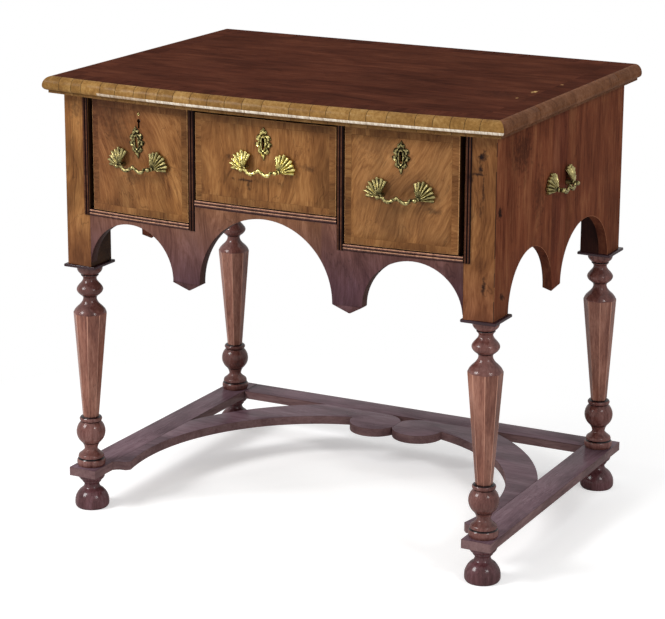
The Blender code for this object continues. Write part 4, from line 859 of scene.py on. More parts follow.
def make_partitions():
    """The upright boards between the drawers, with a bead in front and a runner on each side."""
    rear = BACK_INNER - GAP
    behind = APRON_BACK + GAP
    outline = [
        (FRONT, OUTER_BEAD_BOTTOM),
        (FRONT, BOARD_TOP),
        (rear, BOARD_TOP),
        (rear, PARTITION_BOTTOM),
        (behind, PARTITION_BOTTOM),
        (behind, OUTER_BEAD_BOTTOM),
    ]
    board = bow_front(prism(outline, PARTITION_LOW, PARTITION_HIGH, "X"), FRONT + GAP)
    soften(board, GAP, 1)
    for low_x, drawer_bottom in (
        (PARTITION_HIGH, OUTER_DRAWER_BOTTOM),
        (PARTITION_LOW - RUNNER_REACH, CENTRE_DRAWER_BOTTOM),
    ):
        top = drawer_bottom + DRAWER_PLAY - GAP
        join(board, box((low_x, behind, top - RUNNER_HEIGHT), (low_x + RUNNER_REACH, rear, top)))
    join(board, upright_bead(PARTITION_LOW))

    def zone(face):
        # The boards, inside the case between the drawers, get painted shade; their beads are shaded as
        # beads are.
        return upright_bead_zone(face) or (Y_AXIS, Z_AXIS, 0.3, 0.9)

    add_pair("partition_board_", board, FRONT_WOOD, "partition_", zone)


# The top


def make_top():
    """The top board, with a crossbanded border round its veneer and the mortises for the lock bolts."""
    band = 0.034
    front, end = ARRIS + GAP, HALF_TOP - GAP
    rings = []
    for x in [-end] + steps(-end + band, end - band, 40) + [end]:
        near = front - bow(x)
        ys = [near] + steps(near + band, TOP_REAR - band, 8) + [TOP_REAR]
        rings.append([(x, y, HEIGHT) for y in ys] + [(x, TOP_REAR, CASE_TOP), (x, near, CASE_TOP)])
    mesh = loft(rings)
    for x in (-OUTER_MIDDLE, 0.0, OUTER_MIDDLE):
        low = (x - MORTISE_HALF_WIDTH, MORTISE_FRONT, CASE_TOP - MORTISE_DEPTH)
        mesh = cut(mesh, box(low, (x + MORTISE_HALF_WIDTH, MORTISE_BACK, CASE_TOP + MORTISE_DEPTH)))

    def zone(face):
        middle = face.calc_center_median()
        if face.normal.z < 0.5:
            return X_AXIS, Y_AXIS, 0.3, 0.3
        from_side = end - abs(middle.x)
        from_ends = min(middle.y - (front - bow(middle.x)), TOP_REAR - middle.y)
        if min(from_side, from_ends) > band:
            return X_AXIS, Y_AXIS, 0.5, 0.0, 0.0
        if from_side < from_ends:
            return X_AXIS, Y_AXIS, 0.48, 0.0, 0.1
        return Y_AXIS, X_AXIS, 0.49, 0.0, 0.1

    add("top_veneered_board", mesh, TOP_WOOD, "case", "top_board", zone)


SIDE_JOINTS = (-0.14, 0.19)
FRONT_JOINTS = (
    -0.370, -0.345, -0.325, -0.287, -0.257, -0.221, -0.197, -0.176, -0.147, -0.116, -0.084, -0.053, -0.022,
    0.012, 0.059, 0.095, 0.121, 0.160, 0.187, 0.220, 0.265, 0.293, 0.320, 0.342, 0.366,
)


def moulding_profile():
    """The edge moulding's outline, as out from the board's edge and height."""
    nose_out, nose_z = 0.0125, HEIGHT - 0.0150
    fillet_out, under = 0.005, CASE_TOP + 0.0045
    profile = [(0.0, CASE_TOP), (0.0, HEIGHT)]
    profile += arc((0.0, nose_z), (nose_out, HEIGHT - nose_z), 90, 0, 12)[1:]
    profile += arc((fillet_out, nose_z), (nose_out - fillet_out, nose_z - under), 0, -80, 8)[1:]
    return profile + [(fillet_out, under), (fillet_out, CASE_TOP)]


def with_joints(low, high, joints, count):
    """Places along a moulding, and whether each is the bottom of a joint's groove."""
    places = [(value, False) for value in steps(low, high, count)]
    places = [p for p in places if all(abs(p[0] - joint) > 0.0012 for joint in joints)]
    for joint in joints:
        places += [(joint - 0.0004, False), (joint, True), (joint + 0.0004, False)]
    return sorted(places)


def make_moulding():
    """The cross-grained edge moulding, in short lengths round the front and both sides."""
    along_side = with_joints(ARRIS, TOP_REAR, SIDE_JOINTS, 12)
    stations = []
    for y, joint in reversed(along_side):
        stations.append((-HALF_TOP, y, -1, -1 if y == ARRIS else 0, joint))
    for x, joint in with_joints(-HALF_TOP, HALF_TOP, FRONT_JOINTS, 48)[1:-1]:
        stations.append((x, ARRIS - bow(x), 0, -1, joint))
    for y, joint in along_side:
        stations.append((HALF_TOP, y, 1, -1 if y == ARRIS else 0, joint))
    rings = []
    for x, y, a, b, joint in stations:
        ring = []
        for k, (out, z) in enumerate(moulding_profile()):
            wobble = 0.0002 * abs(noise.noise(Vector((x * 30, y * 30, z * 90)))) if k > 1 else 0.0
            out -= wobble + (0.0003 if joint else 0.0)
            ring.append((x + a * out, y + b * out, z))
        rings.append(ring)
    mesh = loft(rings)
    nose = HEIGHT - 0.0215
    front_ends = (-HALF_TOP, *FRONT_JOINTS, HALF_TOP)
    tones = [dice.uniform(0.42, 0.58) for _ in range(80)]

    def zone(face):
        middle = face.calc_center_median()
        on_front = abs(middle.x) < HALF_TOP and middle.y < ARRIS
        where, splits = (middle.x, front_ends) if on_front else (middle.y, SIDE_JOINTS)
        painted_light_dirt_and_wear = 0.85 if min(abs(where - value) for value in splits) < 0.0004 else 0.0
        # Along the front's nose, a painted highlight, fainter towards the left-hand end and missing at its
        # far left.
        if on_front and HEIGHT - 0.0205 < middle.z < HEIGHT - 0.0160 and where > -0.30:
            painted_light_dirt_and_wear = -0.80 if where > -0.20 else -0.40
        # Below the nose, painted shade.
        if middle.z < nose:
            painted_light_dirt_and_wear = max(painted_light_dirt_and_wear, 0.25)
        if on_front:
            tone = tones[sum(1 for value in splits if value < where)]
            return (Z_AXIS - Y_AXIS).normalized(), X_AXIS, tone, painted_light_dirt_and_wear, 0.25 if middle.z < nose else 0.0
        out = (Z_AXIS + X_AXIS * (1 if middle.x > 0 else -1)).normalized()
        return out, Y_AXIS, 0.50, max(painted_light_dirt_and_wear, 0.05), 0.9

    add("moulding_lengths", mesh, EDGE_WOOD, "case", "top_moulding", zone)


# The drawers

KEYHOLE_HEIGHT, LEFT_KEYHOLE_HEIGHT = 0.6735, 0.6805
KEYHOLE_RADIUS = 0.0033
KEYHOLE_HALF_SLOT = 0.0017
KEYHOLE_LENGTH = 0.0120
BAND, LINE, CHAMFER = 0.0115, 0.0004, 0.0009


def keyhole(x, z):
    """A cutter in the shape of a keyhole, along Y."""
    start = math.degrees(math.asin(KEYHOLE_HALF_SLOT / KEYHOLE_RADIUS)) - 90
    points = arc((x, z), (KEYHOLE_RADIUS, KEYHOLE_RADIUS), start, 180 - start, 17)
    points += [(x - KEYHOLE_HALF_SLOT, z - KEYHOLE_LENGTH), (x + KEYHOLE_HALF_SLOT, z - KEYHOLE_LENGTH)]
    return prism(points, FRONT - 2 * BOW, DRAWER_FRONT_BACK + 0.01, "Y")


def with_bands(low, high, count):
    """Grid lines from low to high with a fine chamfer, a crossband and its line at each end."""
    before = [low, low + CHAMFER, low + BAND - LINE]
    after = [high - BAND + LINE, high - CHAMFER, high]
    return before + steps(low + BAND, high - BAND, count) + after


def make_drawer_front(name, low, high, bottom, top, key_z, tone, lean, hues):
    """A bowed drawer front: a crossband round a figured field, and its keyhole."""
    rings = []
    for x in with_bands(low, high, 32):
        ring = []
        for z in with_bands(bottom, top, 24):
            eased = CHAMFER if x in (low, high) or z in (bottom, top) else 0.0
            ring.append((x, FRONT - bow(x) + eased, z))
        rings.append(ring + [(x, DRAWER_FRONT_BACK, top), (x, DRAWER_FRONT_BACK, bottom)])
    mesh = cut(loft(rings), keyhole((low + high) / 2, key_z))
    slope = math.radians(lean)
    figured = Vector((math.sin(slope), 0, math.cos(slope)))
    over = Vector((math.cos(slope), 0, -math.sin(slope)))
    at_left, at_right, at_top = hues

    def tint(place):
        across = (place.x - low) / (high - low)
        up = (place.z - bottom) / (top - bottom)
        return at_left + (at_right - at_left) * across + at_top * up

    # Darker within about two centimetres of the edges; the right-hand front is paled a little all over, a
    # painted sheen.
    def shade(place):
        inside = min(place.x - low, high - place.x, place.z - bottom, top - place.z)
        return max(0.0, 0.26 - inside * 12.0) - (0.10 if low > 0.10 else 0.0)

    def zone(face):
        middle = face.calc_center_median()
        # Faces that don't face forward, in the gaps round the drawer, get painted shade.
        if face.normal.y > -0.5:
            return X_AXIS, Z_AXIS, 0.35, 0.75, 0.4
        from_x = min(middle.x - low, high - middle.x)
        from_z = min(middle.z - bottom, top - middle.z)
        nearest = min(from_x, from_z)
        # The chamfer round the edge is pale: partly wear, partly a painted highlight.
        if nearest < CHAMFER:
            return X_AXIS, Z_AXIS, tone, -0.85, -0.2
        if abs(nearest - BAND + LINE / 2) < LINE / 2:
            return X_AXIS, Z_AXIS, tone - 0.1, 0.35, tint
        if nearest > BAND:
            return figured, over, tone, shade, tint
        along, across = (X_AXIS, Z_AXIS) if from_x < from_z else (Z_AXIS, X_AXIS)
        return along, across, tone - 0.01, shade, tint

    body, node = "drawer_" + name, "drawer_front_" + name
    add("front_board_" + name, mesh, FRONT_WOOD, body, node, zone)


def make_drawer_fronts():
    """The three drawer fronts, each with its own figure and colour."""
    outer = (OUTER_DRAWER_BOTTOM, OUTER_DRAWER_TOP)
    centre = (CENTRE_DRAWER_BOTTOM, CENTRE_DRAWER_TOP)
    for name, low, high, levels, key_z, *look in (
        ("left", -OUTER_HIGH, -OUTER_LOW, outer, LEFT_KEYHOLE_HEIGHT, 0.49, -24, (0.30, -0.25, 0.35)),
        ("centre", -CENTRE_HALF, CENTRE_HALF, centre, KEYHOLE_HEIGHT, 0.52, 4, (0.0, 0.0, 0.05)),
        ("right", OUTER_LOW, OUTER_HIGH, outer, KEYHOLE_HEIGHT, 0.48, 22, (0.0, 0.12, 0.0)),
    ):
        make_drawer_front(name, low, high, *levels, key_z, *look)


# Legs, feet and stretcher

CORNER_TURNS = (0.0, 1.6, 11.5, 22.5, 33.5, 43.4)
TURNING = [math.radians(22.5 + 45 * k + extra) for k in range(8) for extra in CORNER_TURNS]
LEG_BOTTOM, LEG_TOP = 0.0738, 0.4214
SHOULDER = LEG_TOP - 0.0838
FOOT_TOP = 0.0582
AXIS_RADIUS = 0.0005
BALL_RADIUS = 0.0243
LEG_GROOVES = (0.0131, 0.0398, 0.0772, SHOULDER - LEG_BOTTOM + 0.0319, LEG_TOP - LEG_BOTTOM - 0.0156)
LEG_TOP_X, LEG_FOOT_X = 0.357, 0.361
LEG_PLACES = {"front": (FRONT + 0.0265, FRONT + 0.024), "back": (BACK - 0.023, BACK - 0.013)}


def smooth(points, count=4):
    """A smooth curve through points."""
    made = []
    for k in range(len(points) - 1):
        before = points[max(k - 1, 0)]
        start, end = points[k], points[k + 1]
        after = points[min(k + 2, len(points) - 1)]
        for t in steps(0, 1, count)[: None if k == len(points) - 2 else -1]:
            row = []
            for a, b, c, d in zip(before, start, end, after):
                square, cube = 2 * a - 5 * b + 4 * c - d, 3 * b - a - 3 * c + d
                row.append((2 * b + (c - a) * t + square * t * t + cube * t**3) / 2)
            made.append(tuple(row))
    return made


def mouldings(base, *groups, count=4):
    """Turned mouldings from groups of (radius, height above a base)."""
    rows = []
    for group in groups:
        rows += smooth([(radius, base + height) for radius, height in group], count)
    return rows


def turned(rows, lean=None):
    """A turned bmesh. A row holds a radius, a height and, where faceted, the flats' distance."""
    rings = []
    for radius, z, *flat in rows:
        shift_x, shift_y = lean(z) if lean else (0.0, 0.0)
        ring = []
        for angle in TURNING:
            reach = radius
            if flat:
                from_flat = (angle + math.pi / 8) % (math.pi / 4) - math.pi / 8
                reach = min(radius, flat[0] / math.cos(from_flat))
            ring.append((reach * math.cos(angle) + shift_x, reach * math.sin(angle) + shift_y, z))
        rings.append(ring)
    return loft(rings)


def leg_rows():
    """The leg's outline from its base to its top."""
    rows = [(AXIS_RADIUS, LEG_BOTTOM)]
    rows += mouldings(
        LEG_BOTTOM,
        ((0.0222, 0.0), (0.0238, 0.0040), (0.0236, 0.0095), (0.0213, 0.0130)),
        ((0.0209, 0.0133), (0.0216, 0.0152), (0.0205, 0.0190), (0.0175, 0.0215), (0.0140, 0.0245),
         (0.0110, 0.0285), (0.0124, 0.0350), (0.0150, 0.0396)),
    )
    rows += arc((0.0, LEG_BOTTOM + 0.0590), (BALL_RADIUS, BALL_RADIUS), -50, 47, 14)
    rows += mouldings(
        LEG_BOTTOM, ((0.0168, 0.0772), (0.0184, 0.0795), (0.0189, 0.0825), (0.0172, 0.0850)), count=3
    )
    start, first_flat, last_flat = LEG_BOTTOM + 0.0862, 0.0126, 0.0257
    for t in steps(0, 1, 10):
        flat = first_flat + (last_flat - first_flat) * t
        rows.append((0.0145 + 0.0135 * t, start + (SHOULDER - start) * t, flat))
    rows += [(0.0279, SHOULDER + 0.0020, 0.0260), (0.0276, SHOULDER + 0.0031, 0.0264)]
    rows += mouldings(
        SHOULDER,
        ((0.0270, 0.0038), (0.0251, 0.0075), (0.0213, 0.0120), (0.0165, 0.0165), (0.0128, 0.0215),
         (0.0113, 0.0262), (0.0120, 0.0295), (0.0136, 0.0316)),
        ((0.0146, 0.0322), (0.0190, 0.0360), (0.0217, 0.0405), (0.0214, 0.0450), (0.0180, 0.0500),
         (0.0140, 0.0545), (0.0116, 0.0585), (0.0113, 0.0620)),
    )
    rows += mouldings(
        LEG_TOP,
        ((0.0136, -0.0186), (0.0146, -0.0178), (0.0147, -0.0166), (0.0140, -0.0158)),
        ((0.0146, -0.0154), (0.0180, -0.0125), (0.0206, -0.0085), (0.0213, -0.0040), (0.0211, 0.0)),
        count=3,
    )
    return rows + [(AXIS_RADIUS, LEG_TOP)]


def foot_rows():
    """The foot's outline from the floor to the stretcher."""
    rows = [(AXIS_RADIUS, 0.0)]
    rows += mouldings(
        0.0,
        ((0.0258, 0.0), (0.0283, 0.0035), (0.0288, 0.0085), (0.0280, 0.0165), (0.0250, 0.0235),
         (0.0205, 0.0295), (0.0150, 0.0338), (0.0126, 0.0385)),
    )
    rows += mouldings(
        FOOT_TOP,
        ((0.0128, -0.0170), (0.0148, -0.0148), (0.0161, -0.0130), (0.0157, -0.0112)),
        ((0.0163, -0.0108), (0.0190, -0.0092), (0.0216, -0.0058), (0.0222, -0.0025), (0.0220, 0.0)),
        count=3,
    )
    return rows + [(AXIS_RADIUS, FOOT_TOP)]


def make_leg(name, sign, top_y, foot_y):
    """A leg, with its pad above and its foot below the stretcher."""
    straight = LEG_BOTTOM + 0.024
    foot_x = sign * LEG_FOOT_X
    reach = (sign * (LEG_TOP_X - LEG_FOOT_X), top_y - foot_y)
    tone = dice.uniform(0.44, 0.54)

    def lean(z):
        share = min(max((z - straight) / (LEG_TOP - straight), 0.0), 1.0)
        return reach[0] * share, reach[1] * share

    def zone(face):
        middle = face.calc_center_median()
        above_base = middle.z - LEG_BOTTOM
        # Turned mouldings are a little darker all over; painted shade grows on faces turned up or down and
        # is deepest in the grooves and in the crease at the taper's foot.
        if not 0.0862 < above_base < SHOULDER - LEG_BOTTOM + 0.001:
            painted_light_dirt_and_wear = 0.15 + 0.55 * max(0.0, abs(face.normal.z) - 0.55)
            near_groove = min(abs(above_base - groove) for groove in LEG_GROOVES) < 0.0012
            if near_groove or 0.0845 < above_base < 0.0870:
                painted_light_dirt_and_wear = 0.95
            return Z_AXIS, Y_AXIS, tone - 0.06, painted_light_dirt_and_wear, 0.45
        shift_x, shift_y = lean(middle.z)
        around = math.degrees(math.atan2(middle.y - foot_y - shift_y, middle.x - foot_x - shift_x))
        from_corner = (around - 22.5) % 45
        # A pale line along each facet corner: partly wear, partly a painted highlight.
        if min(from_corner, 45 - from_corner) < 1.7:
            return Z_AXIS, Y_AXIS, tone + 0.06, -0.55, 0.0
        # The taper's lowest few millimetres, where it meets the collar, get painted shade.
        return Z_AXIS, Y_AXIS, tone + 0.04, 0.7 if above_base < 0.092 else 0.0, 0.10

    there = Matrix.Translation((foot_x, foot_y, 0))
    leg = move(turned(leg_rows(), lean), there)
    foot = move(turned(foot_rows()), there)
    cap = soften(box(*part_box("leg_cap_" + name)), 0.0020, 4)
    for piece, mesh, node, grain in (
        ("turned_leg_", leg, "leg_", zone),
        # The foot gets painted shade all over, as it stands below the stretcher; the pad is darker all
        # over.
        ("turned_foot_", foot, "foot_", plain(Z_AXIS, Y_AXIS, 0.32, 0.25, 0.85)),
        ("pad_", cap, "leg_cap_", plain(X_AXIS, Y_AXIS, 0.2, 0.7, 1.0)),
    ):
        add(piece + name, mesh, TURNED_WOOD, "case", node + name, grain)


def make_legs():
    """The four legs."""
    for end, (top_y, foot_y) in LEG_PLACES.items():
        for side, sign in (("left", -1), ("right", 1)):
            make_leg(end + "_" + side, sign, top_y, foot_y)


RAIL_INNER = 0.336
BACK_RAIL_FRONT = 0.25425
CURVE_MIDDLE = (0.0, -0.10875)
FRONT_CURVE, BACK_CURVE = (0.318, 0.330), (0.367, 0.405)
LOBE_RADIUS = 0.0455
LOBE_REACH = (LOBE_RADIUS, LOBE_RADIUS)
LOBE_MIDDLE = (0.042, BACK_RAIL_FRONT - GAP - LOBE_RADIUS)
# The small ogee at the ear of a curved board, as shares of its width and of its depth
EAR_DEPTH = 0.016
EAR = ((0.0, 0.0), (0.18, 0.30), (0.35, 0.47), (0.55, 0.53), (0.78, 0.58))


def lobe_meeting():
    """The angle on the front curve at which it runs into the lobe."""
    low, high = 45.0, 90.0
    for _ in range(40):
        middle = (low + high) / 2
        if math.dist(at_angle(CURVE_MIDDLE, FRONT_CURVE, middle), LOBE_MIDDLE) > LOBE_RADIUS:
            low = middle
        else:
            high = middle
    return low


def curved_board():
    """The right-hand curved board's outline: ear, hollow front, lobe, and hollow back."""
    rail = RAIL_INNER - GAP
    ear = FRONT + 0.050
    start = math.degrees(math.asin((ear + EAR_DEPTH - CURVE_MIDDLE[1]) / FRONT_CURVE[1]))
    meeting = lobe_meeting()
    width = rail - at_angle(CURVE_MIDDLE, FRONT_CURVE, start)[0]
    points = [(rail - across * width, ear + up * EAR_DEPTH) for across, up in EAR]
    points += arc(CURVE_MIDDLE, FRONT_CURVE, start, meeting, 48)
    x, y = points[-1]
    lobe_start = math.degrees(math.atan2(y - LOBE_MIDDLE[1], x - LOBE_MIDDLE[0]))
    cusp = math.degrees(math.acos((GAP / 2 - LOBE_MIDDLE[0]) / LOBE_RADIUS))
    points += arc(LOBE_MIDDLE, LOBE_REACH, lobe_start, -cusp, 36)[1:]
    points += arc(LOBE_MIDDLE, LOBE_REACH, cusp, 90, 12)
    high = math.degrees(math.asin((BACK_RAIL_FRONT - GAP - CURVE_MIDDLE[1]) / BACK_CURVE[1]))
    low = math.degrees(math.acos(rail / BACK_CURVE[0]))
    return points + arc(CURVE_MIDDLE, BACK_CURVE, high, low, 24)


def rail_zone(along, across, tone):
    """A zone for a board of the stretcher: a painted grey-purple sheen on top; its sides more golden and a
    little darker, painted shade, and darker still on the bevels along its top.
    """
    def zone(face):
        if face.normal.z > 0.9:
            return along, across, tone, 0.0, 0.20
        return along, across, tone + 0.02, 0.45 if face.normal.z > 0.2 else 0.15, -0.30
    return zone


def make_stretcher():
    """The flat stretcher: side rails, back rail and the two curved boards."""
    rail = soften(box(*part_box("stretcher_side_right")))
    add_pair("side_rail_", rail, RAIL_WOOD, "stretcher_side_", rail_zone(Y_AXIS, X_AXIS, 0.50))
    low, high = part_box("stretcher_back")
    back = soften(box(low, high), 0.0014)
    add("back_rail", back, RAIL_WOOD, "case", "stretcher_back", rail_zone(X_AXIS, Y_AXIS, 0.46))
    curved = soften(prism(curved_board(), low[2], high[2]), 0.0006)
    add_pair("curved_board_", curved, RAIL_WOOD, "stretcher_front_", rail_zone(X_AXIS, Y_AXIS, 0.5))


# Handles and escutcheons

OUTER_HANDLE_HEIGHT, CENTRE_HANDLE_HEIGHT, SIDE_HANDLE_HEIGHT = 0.621, 0.641, 0.603
KNUCKLE_X, KNUCKLE_DROP, KNUCKLE_STAND = 0.030, 0.013, 0.018
KNOB = (0.0040, 0.0054)
LEAF_RADIUS, LEAF_AXIS, LEAF_SPREAD = 0.029, 50.0, 124.0
# The lengths of a leaf's lobes, from its lowest to its innermost
LEAF_LOBES = (0.88, 0.97, 0.93, 1.0, 0.94, 0.99, 0.90, 0.82)
LEAF_STEPS = 10
LEAF_CURL = 0.85
LEAF_DOME = 0.0080
LEAF_STANDOFF = 0.0012
# The knuckle's stem, as radius and distance out
STEM = [(0.0040, 0.0006), (0.0040, 0.006), (0.0032, 0.0112), (0.0038, 0.0124), (0.0032, 0.0130)]


def hump(value, middle, width):
    """A smooth hump of height 1 about a middle."""
    return math.exp(-(((value - middle) / width) ** 2))


def tarnish(mesh, amount):
    """Store a cast piece's dark patches."""
    shade = mesh.loops.layers.float.new("shade")
    for face in mesh.faces:
        for loop in face.loops:
            loop[shade] = max(0.0, amount + 0.8 * noise.noise(loop.vert.co * 380))
    return mesh


def within_lobe(k, share):
    """How far a place on a leaf is from its lobe's middle, 0 to 1."""
    return abs(2 * ((k / LEAF_STEPS + LEAF_CURL * (1 - share) ** 2) % 1.0) - 1)


def leaf_reach(k):
    """How far a leaf reaches in one of its directions."""
    lobe = LEAF_LOBES[min(int(k / LEAF_STEPS), len(LEAF_LOBES) - 1)]
    return LEAF_RADIUS * (0.80 + (lobe - 0.80) * (1 - within_lobe(k, 1.0) ** 3))


def leaf_relief(k, share):
    """How far a leaf's front stands before its back: crowned lobes with creases, and a raised rim."""
    side = within_lobe(k, share)
    crown = 0.0026 * (1 - side**1.5) * min(1.0, share * 1.8)
    crease = 0.0007 * hump(side, 0.45, 0.14) * share
    rough = 0.0005 * noise.noise(Vector((k * 0.4, share * 9, 0)))
    rim = 0.0014 * max(0.0, share - 0.75) / 0.25
    return 0.0009 + crown - crease + rough + rim


def leaf_shade(k, share, next_share):
    """How dark a leaf is: in its grooves, in patches and at its root."""
    side = within_lobe(k + 0.5, (share + next_share) / 2)
    groove = max(0.0, (side - 0.66) / 0.34) + 0.35 * hump(side, 0.45, 0.12)
    patch = 0.5 * noise.noise(Vector((k * 0.13, share * 4, 5)))
    root = max(0.0, 0.30 - share) / 0.30
    return min(1.0, max(0.0, groove + patch + root))


def leaf_mesh():
    """A right-hand cast leaf: a domed fan of curling ridged lobes, and its knuckle."""
    count = len(LEAF_LOBES) * LEAF_STEPS
    shares = steps(0.08, 1.0, 20)
    rings = []
    for k, angle in enumerate(steps(LEAF_AXIS - LEAF_SPREAD / 2, LEAF_AXIS + LEAF_SPREAD / 2, count)):
        front, back = [], []
        for share in shares:
            reach = leaf_reach(k) * share
            x, z = at_angle((KNUCKLE_X, -KNUCKLE_DROP), (reach, reach), angle)
            dome = LEAF_STANDOFF + LEAF_DOME * (1 - share**2)
            front.append((x, -dome - leaf_relief(k, share), z))
            back.append((x, -dome, z))
        rings.append(front + back[::-1])
    mesh = loft(rings)
    shade = mesh.loops.layers.float.new("shade")
    for index, face in enumerate(mesh.faces):
        k, i = divmod(index, 2 * len(shares))
        if k < count and i < len(shares) - 1:
            for loop in face.loops:
                loop[shade] = leaf_shade(k, shares[i], shares[i + 1])
    rings = []
    for radius, out in STEM + arc((0.0, KNUCKLE_STAND), KNOB, -50, 85, 9):
        circle = arc((KNUCKLE_X, -KNUCKLE_DROP), (radius, radius), 0, 360, 20)[:-1]
        rings.append([(x, -out, z) for x, z in circle])
    return join(mesh, tarnish(loft(rings), 0.35))


BAIL_CURVE = (
    (1.0, 0.0), (0.92, 0.42), (0.80, 0.80), (0.62, 1.0), (0.45, 0.86), (0.30, 0.54), (0.18, 0.24),
    (0.08, 0.06), (0.0, 0.0),
)
BAIL_END, BAIL_START, BAIL_DROP, BAIL_PIN = 0.033, 0.0225, 0.0058, 0.0019


def bail_radius(share):
    """The bail's thickness at a share of its half span: a knot between two collars, then a long swell."""
    swell = 0.0024 + 0.0008 * hump(share, 0.62, 0.25)
    return max(swell, 0.0040 * hump(share, 0.0, 0.14), 0.0031 * hump(share, 0.25, 0.05))


def bail_mesh():
    """The swinging bail, drawn with its hinge axis through the origin along X."""
    half = smooth(BAIL_CURVE, 6)
    path = [(-BAIL_END, 0.0, BAIL_PIN), (-BAIL_START - 0.0004, 0.0, BAIL_PIN)]
    for a, b in [(-a, b) for a, b in half] + half[-2::-1]:
        path.append((BAIL_START * a, -BAIL_DROP * b, bail_radius(abs(a))))
    path += [(BAIL_START + 0.0004, 0.0, BAIL_PIN), (BAIL_END, 0.0, BAIL_PIN)]
    rings = []
    for k, (x, z, radius) in enumerate(path):
        before = path[max(k - 1, 0)]
        after = path[min(k + 1, len(path) - 1)]
        along = Vector((after[0] - before[0], 0, after[1] - before[1])).normalized()
        across = Vector((-along.z, 0, along.x))
        ring = []
        for n in range(18):
            a = 2 * math.pi * n / 18
            twisted = radius * (1 + 0.07 * math.cos(3 * a + 900 * x)) if radius > 0.0022 else radius
            ring.append(Vector((x, 0, z)) + twisted * (math.cos(a) * across + math.sin(a) * Y_AXIS))
        rings.append(ring)
    return tarnish(loft(rings), 0.30)


def on_front(x, z):
    """A place on the bowed front, facing as the front does there."""
    return Matrix.Translation((x, FRONT - bow(x), z)) @ Matrix.Rotation(turn(x), 4, "Z")


def make_handle(name, there, body, finish):
    """Place one handle's two leaves and its bail on a face."""
    there = there @ Matrix.Translation((0, -GAP, 0))
    for side in ("left", "right"):
        mesh = leaf_mesh() if side == "right" else mirror(leaf_mesh())
        node = "leaf_%s_%s" % (name, side)
        add("cast_" + node, move(mesh, there), finish, body, node, round_angle=50)
    hinge = there @ Matrix.Translation((0, -KNUCKLE_STAND, -KNUCKLE_DROP))
    bail = "bail_" + name
    add("cast_" + bail, move(bail_mesh(), hinge), finish, bail, bail, round_angle=50)


def make_handles():
    """The three drawers' handles and the two on the sides."""
    for name, x, z, finish in (
        ("left", -OUTER_MIDDLE, OUTER_HANDLE_HEIGHT, DULL_BRASS),
        ("centre", 0.0, CENTRE_HANDLE_HEIGHT, BRASS),
        ("right", OUTER_MIDDLE, OUTER_HANDLE_HEIGHT, DULL_BRASS),
    ):
        make_handle(name, on_front(x, z), "drawer_" + name, finish)
    for name, sign in (("left_side", -1), ("right_side", 1)):
        place = Matrix.Translation((sign * HALF_CASE, SIDE_MIDDLE, SIDE_HANDLE_HEIGHT))
        make_handle(name, place @ Matrix.Rotation(sign * math.pi / 2, 4, "Z"), "case", DULL_BRASS)


PLATE_HALF_WIDTH, PLATE_HALF_HEIGHT = 0.0150, 0.0265
BELOW_KEYHOLE = 0.0055
# How far the left-hand plate has slipped down and aside, and by how many degrees it leans
SLIPPED_DOWN, SLIPPED_ASIDE, SLIPPED_LEAN = 0.029, 0.0037, -5.5
PIN_HEIGHT, PIN_RING_RADIUS, PIN_WIRE_RADIUS = 0.6916, 0.0016, 0.0005
PLATE_OUTLINE = (
    (0.00, 1.00), (0.14, 0.86), (0.42, 0.72), (0.34, 0.56), (0.72, 0.50), (0.86, 0.28), (0.66, 0.14),
    (1.00, 0.02), (0.80, -0.20), (0.58, -0.26), (0.70, -0.46), (0.44, -0.62), (0.22, -0.66), (0.16, -0.84),
    (0.00, -1.00),
)
SLOT_HALF_WIDTH, SLOT_HALF_LENGTH = 0.0024, 0.00925
# A plate's relief: share of the way from its opening to its edge, height and shade.
PLATE_RELIEF = (
    (0.00, 0.0006, 1.0), (0.05, 0.0030, 0.1), (0.17, 0.0034, 0.1), (0.27, 0.0016, 0.9), (0.38, 0.0012, 1.0),
    (0.48, 0.0020, 0.6), (0.58, 0.0029, 0.2), (0.68, 0.0033, 0.1), (0.78, 0.0026, 0.5), (0.88, 0.0022, 0.7),
    (0.95, 0.0017, 0.6), (1.00, 0.0010, 0.9),
)


def plate_point(x, z, share, out):
    """A point of a plate between its opening and a place on its edge."""
    angle = math.atan2(z / PLATE_HALF_HEIGHT, x / PLATE_HALF_WIDTH)
    slot_x, slot_z = 0.0, SLOT_HALF_LENGTH * math.sin(angle)
    if abs(x) > 1e-6:
        past = max(0.0, abs(slot_z) - (SLOT_HALF_LENGTH - SLOT_HALF_WIDTH))
        slot_x = math.copysign(math.sqrt(max(0.0, SLOT_HALF_WIDTH**2 - past**2)), x)
    scroll = math.cos(13 * angle + 7 * share) * max(0.0, share - 0.35)
    grit = noise.noise(Vector((x * 330, z * 330, share * 5)))
    lobes = 1 + 0.45 * scroll + (0.35 * grit if share > 0.2 else 0.0)
    return (slot_x + (x - slot_x) * share, -out * lobes, slot_z + (z - slot_z) * share)


def plate_mesh():
    """A cast keyhole plate, standing about its own middle: a raised lip, a hollow and scrolled lobes."""
    half = smooth(PLATE_OUTLINE, 5)
    half += [(-a, b) for a, b in half[-2:0:-1]]
    edge = [(a * PLATE_HALF_WIDTH, b * PLATE_HALF_HEIGHT) for a, b in half]
    rings = [[plate_point(x, z, share, out) for x, z in edge] for share, out, _ in PLATE_RELIEF]
    behind = [[(x, -GAP, z) for x, y, z in ring] for ring in (rings[0], rings[-1])]
    mesh = loft([behind[0], *rings, behind[1]], closed=True)
    shades = [1.0, *(dark for _, _, dark in PLATE_RELIEF), 1.0]
    shade = mesh.loops.layers.float.new("shade")
    mesh.verts.index_update()
    for face in mesh.faces:
        for loop in face.loops:
            dark = shades[loop.vert.index // len(edge)]
            loop[shade] = dark + 0.7 * noise.noise(loop.vert.co * 300)
    return mesh


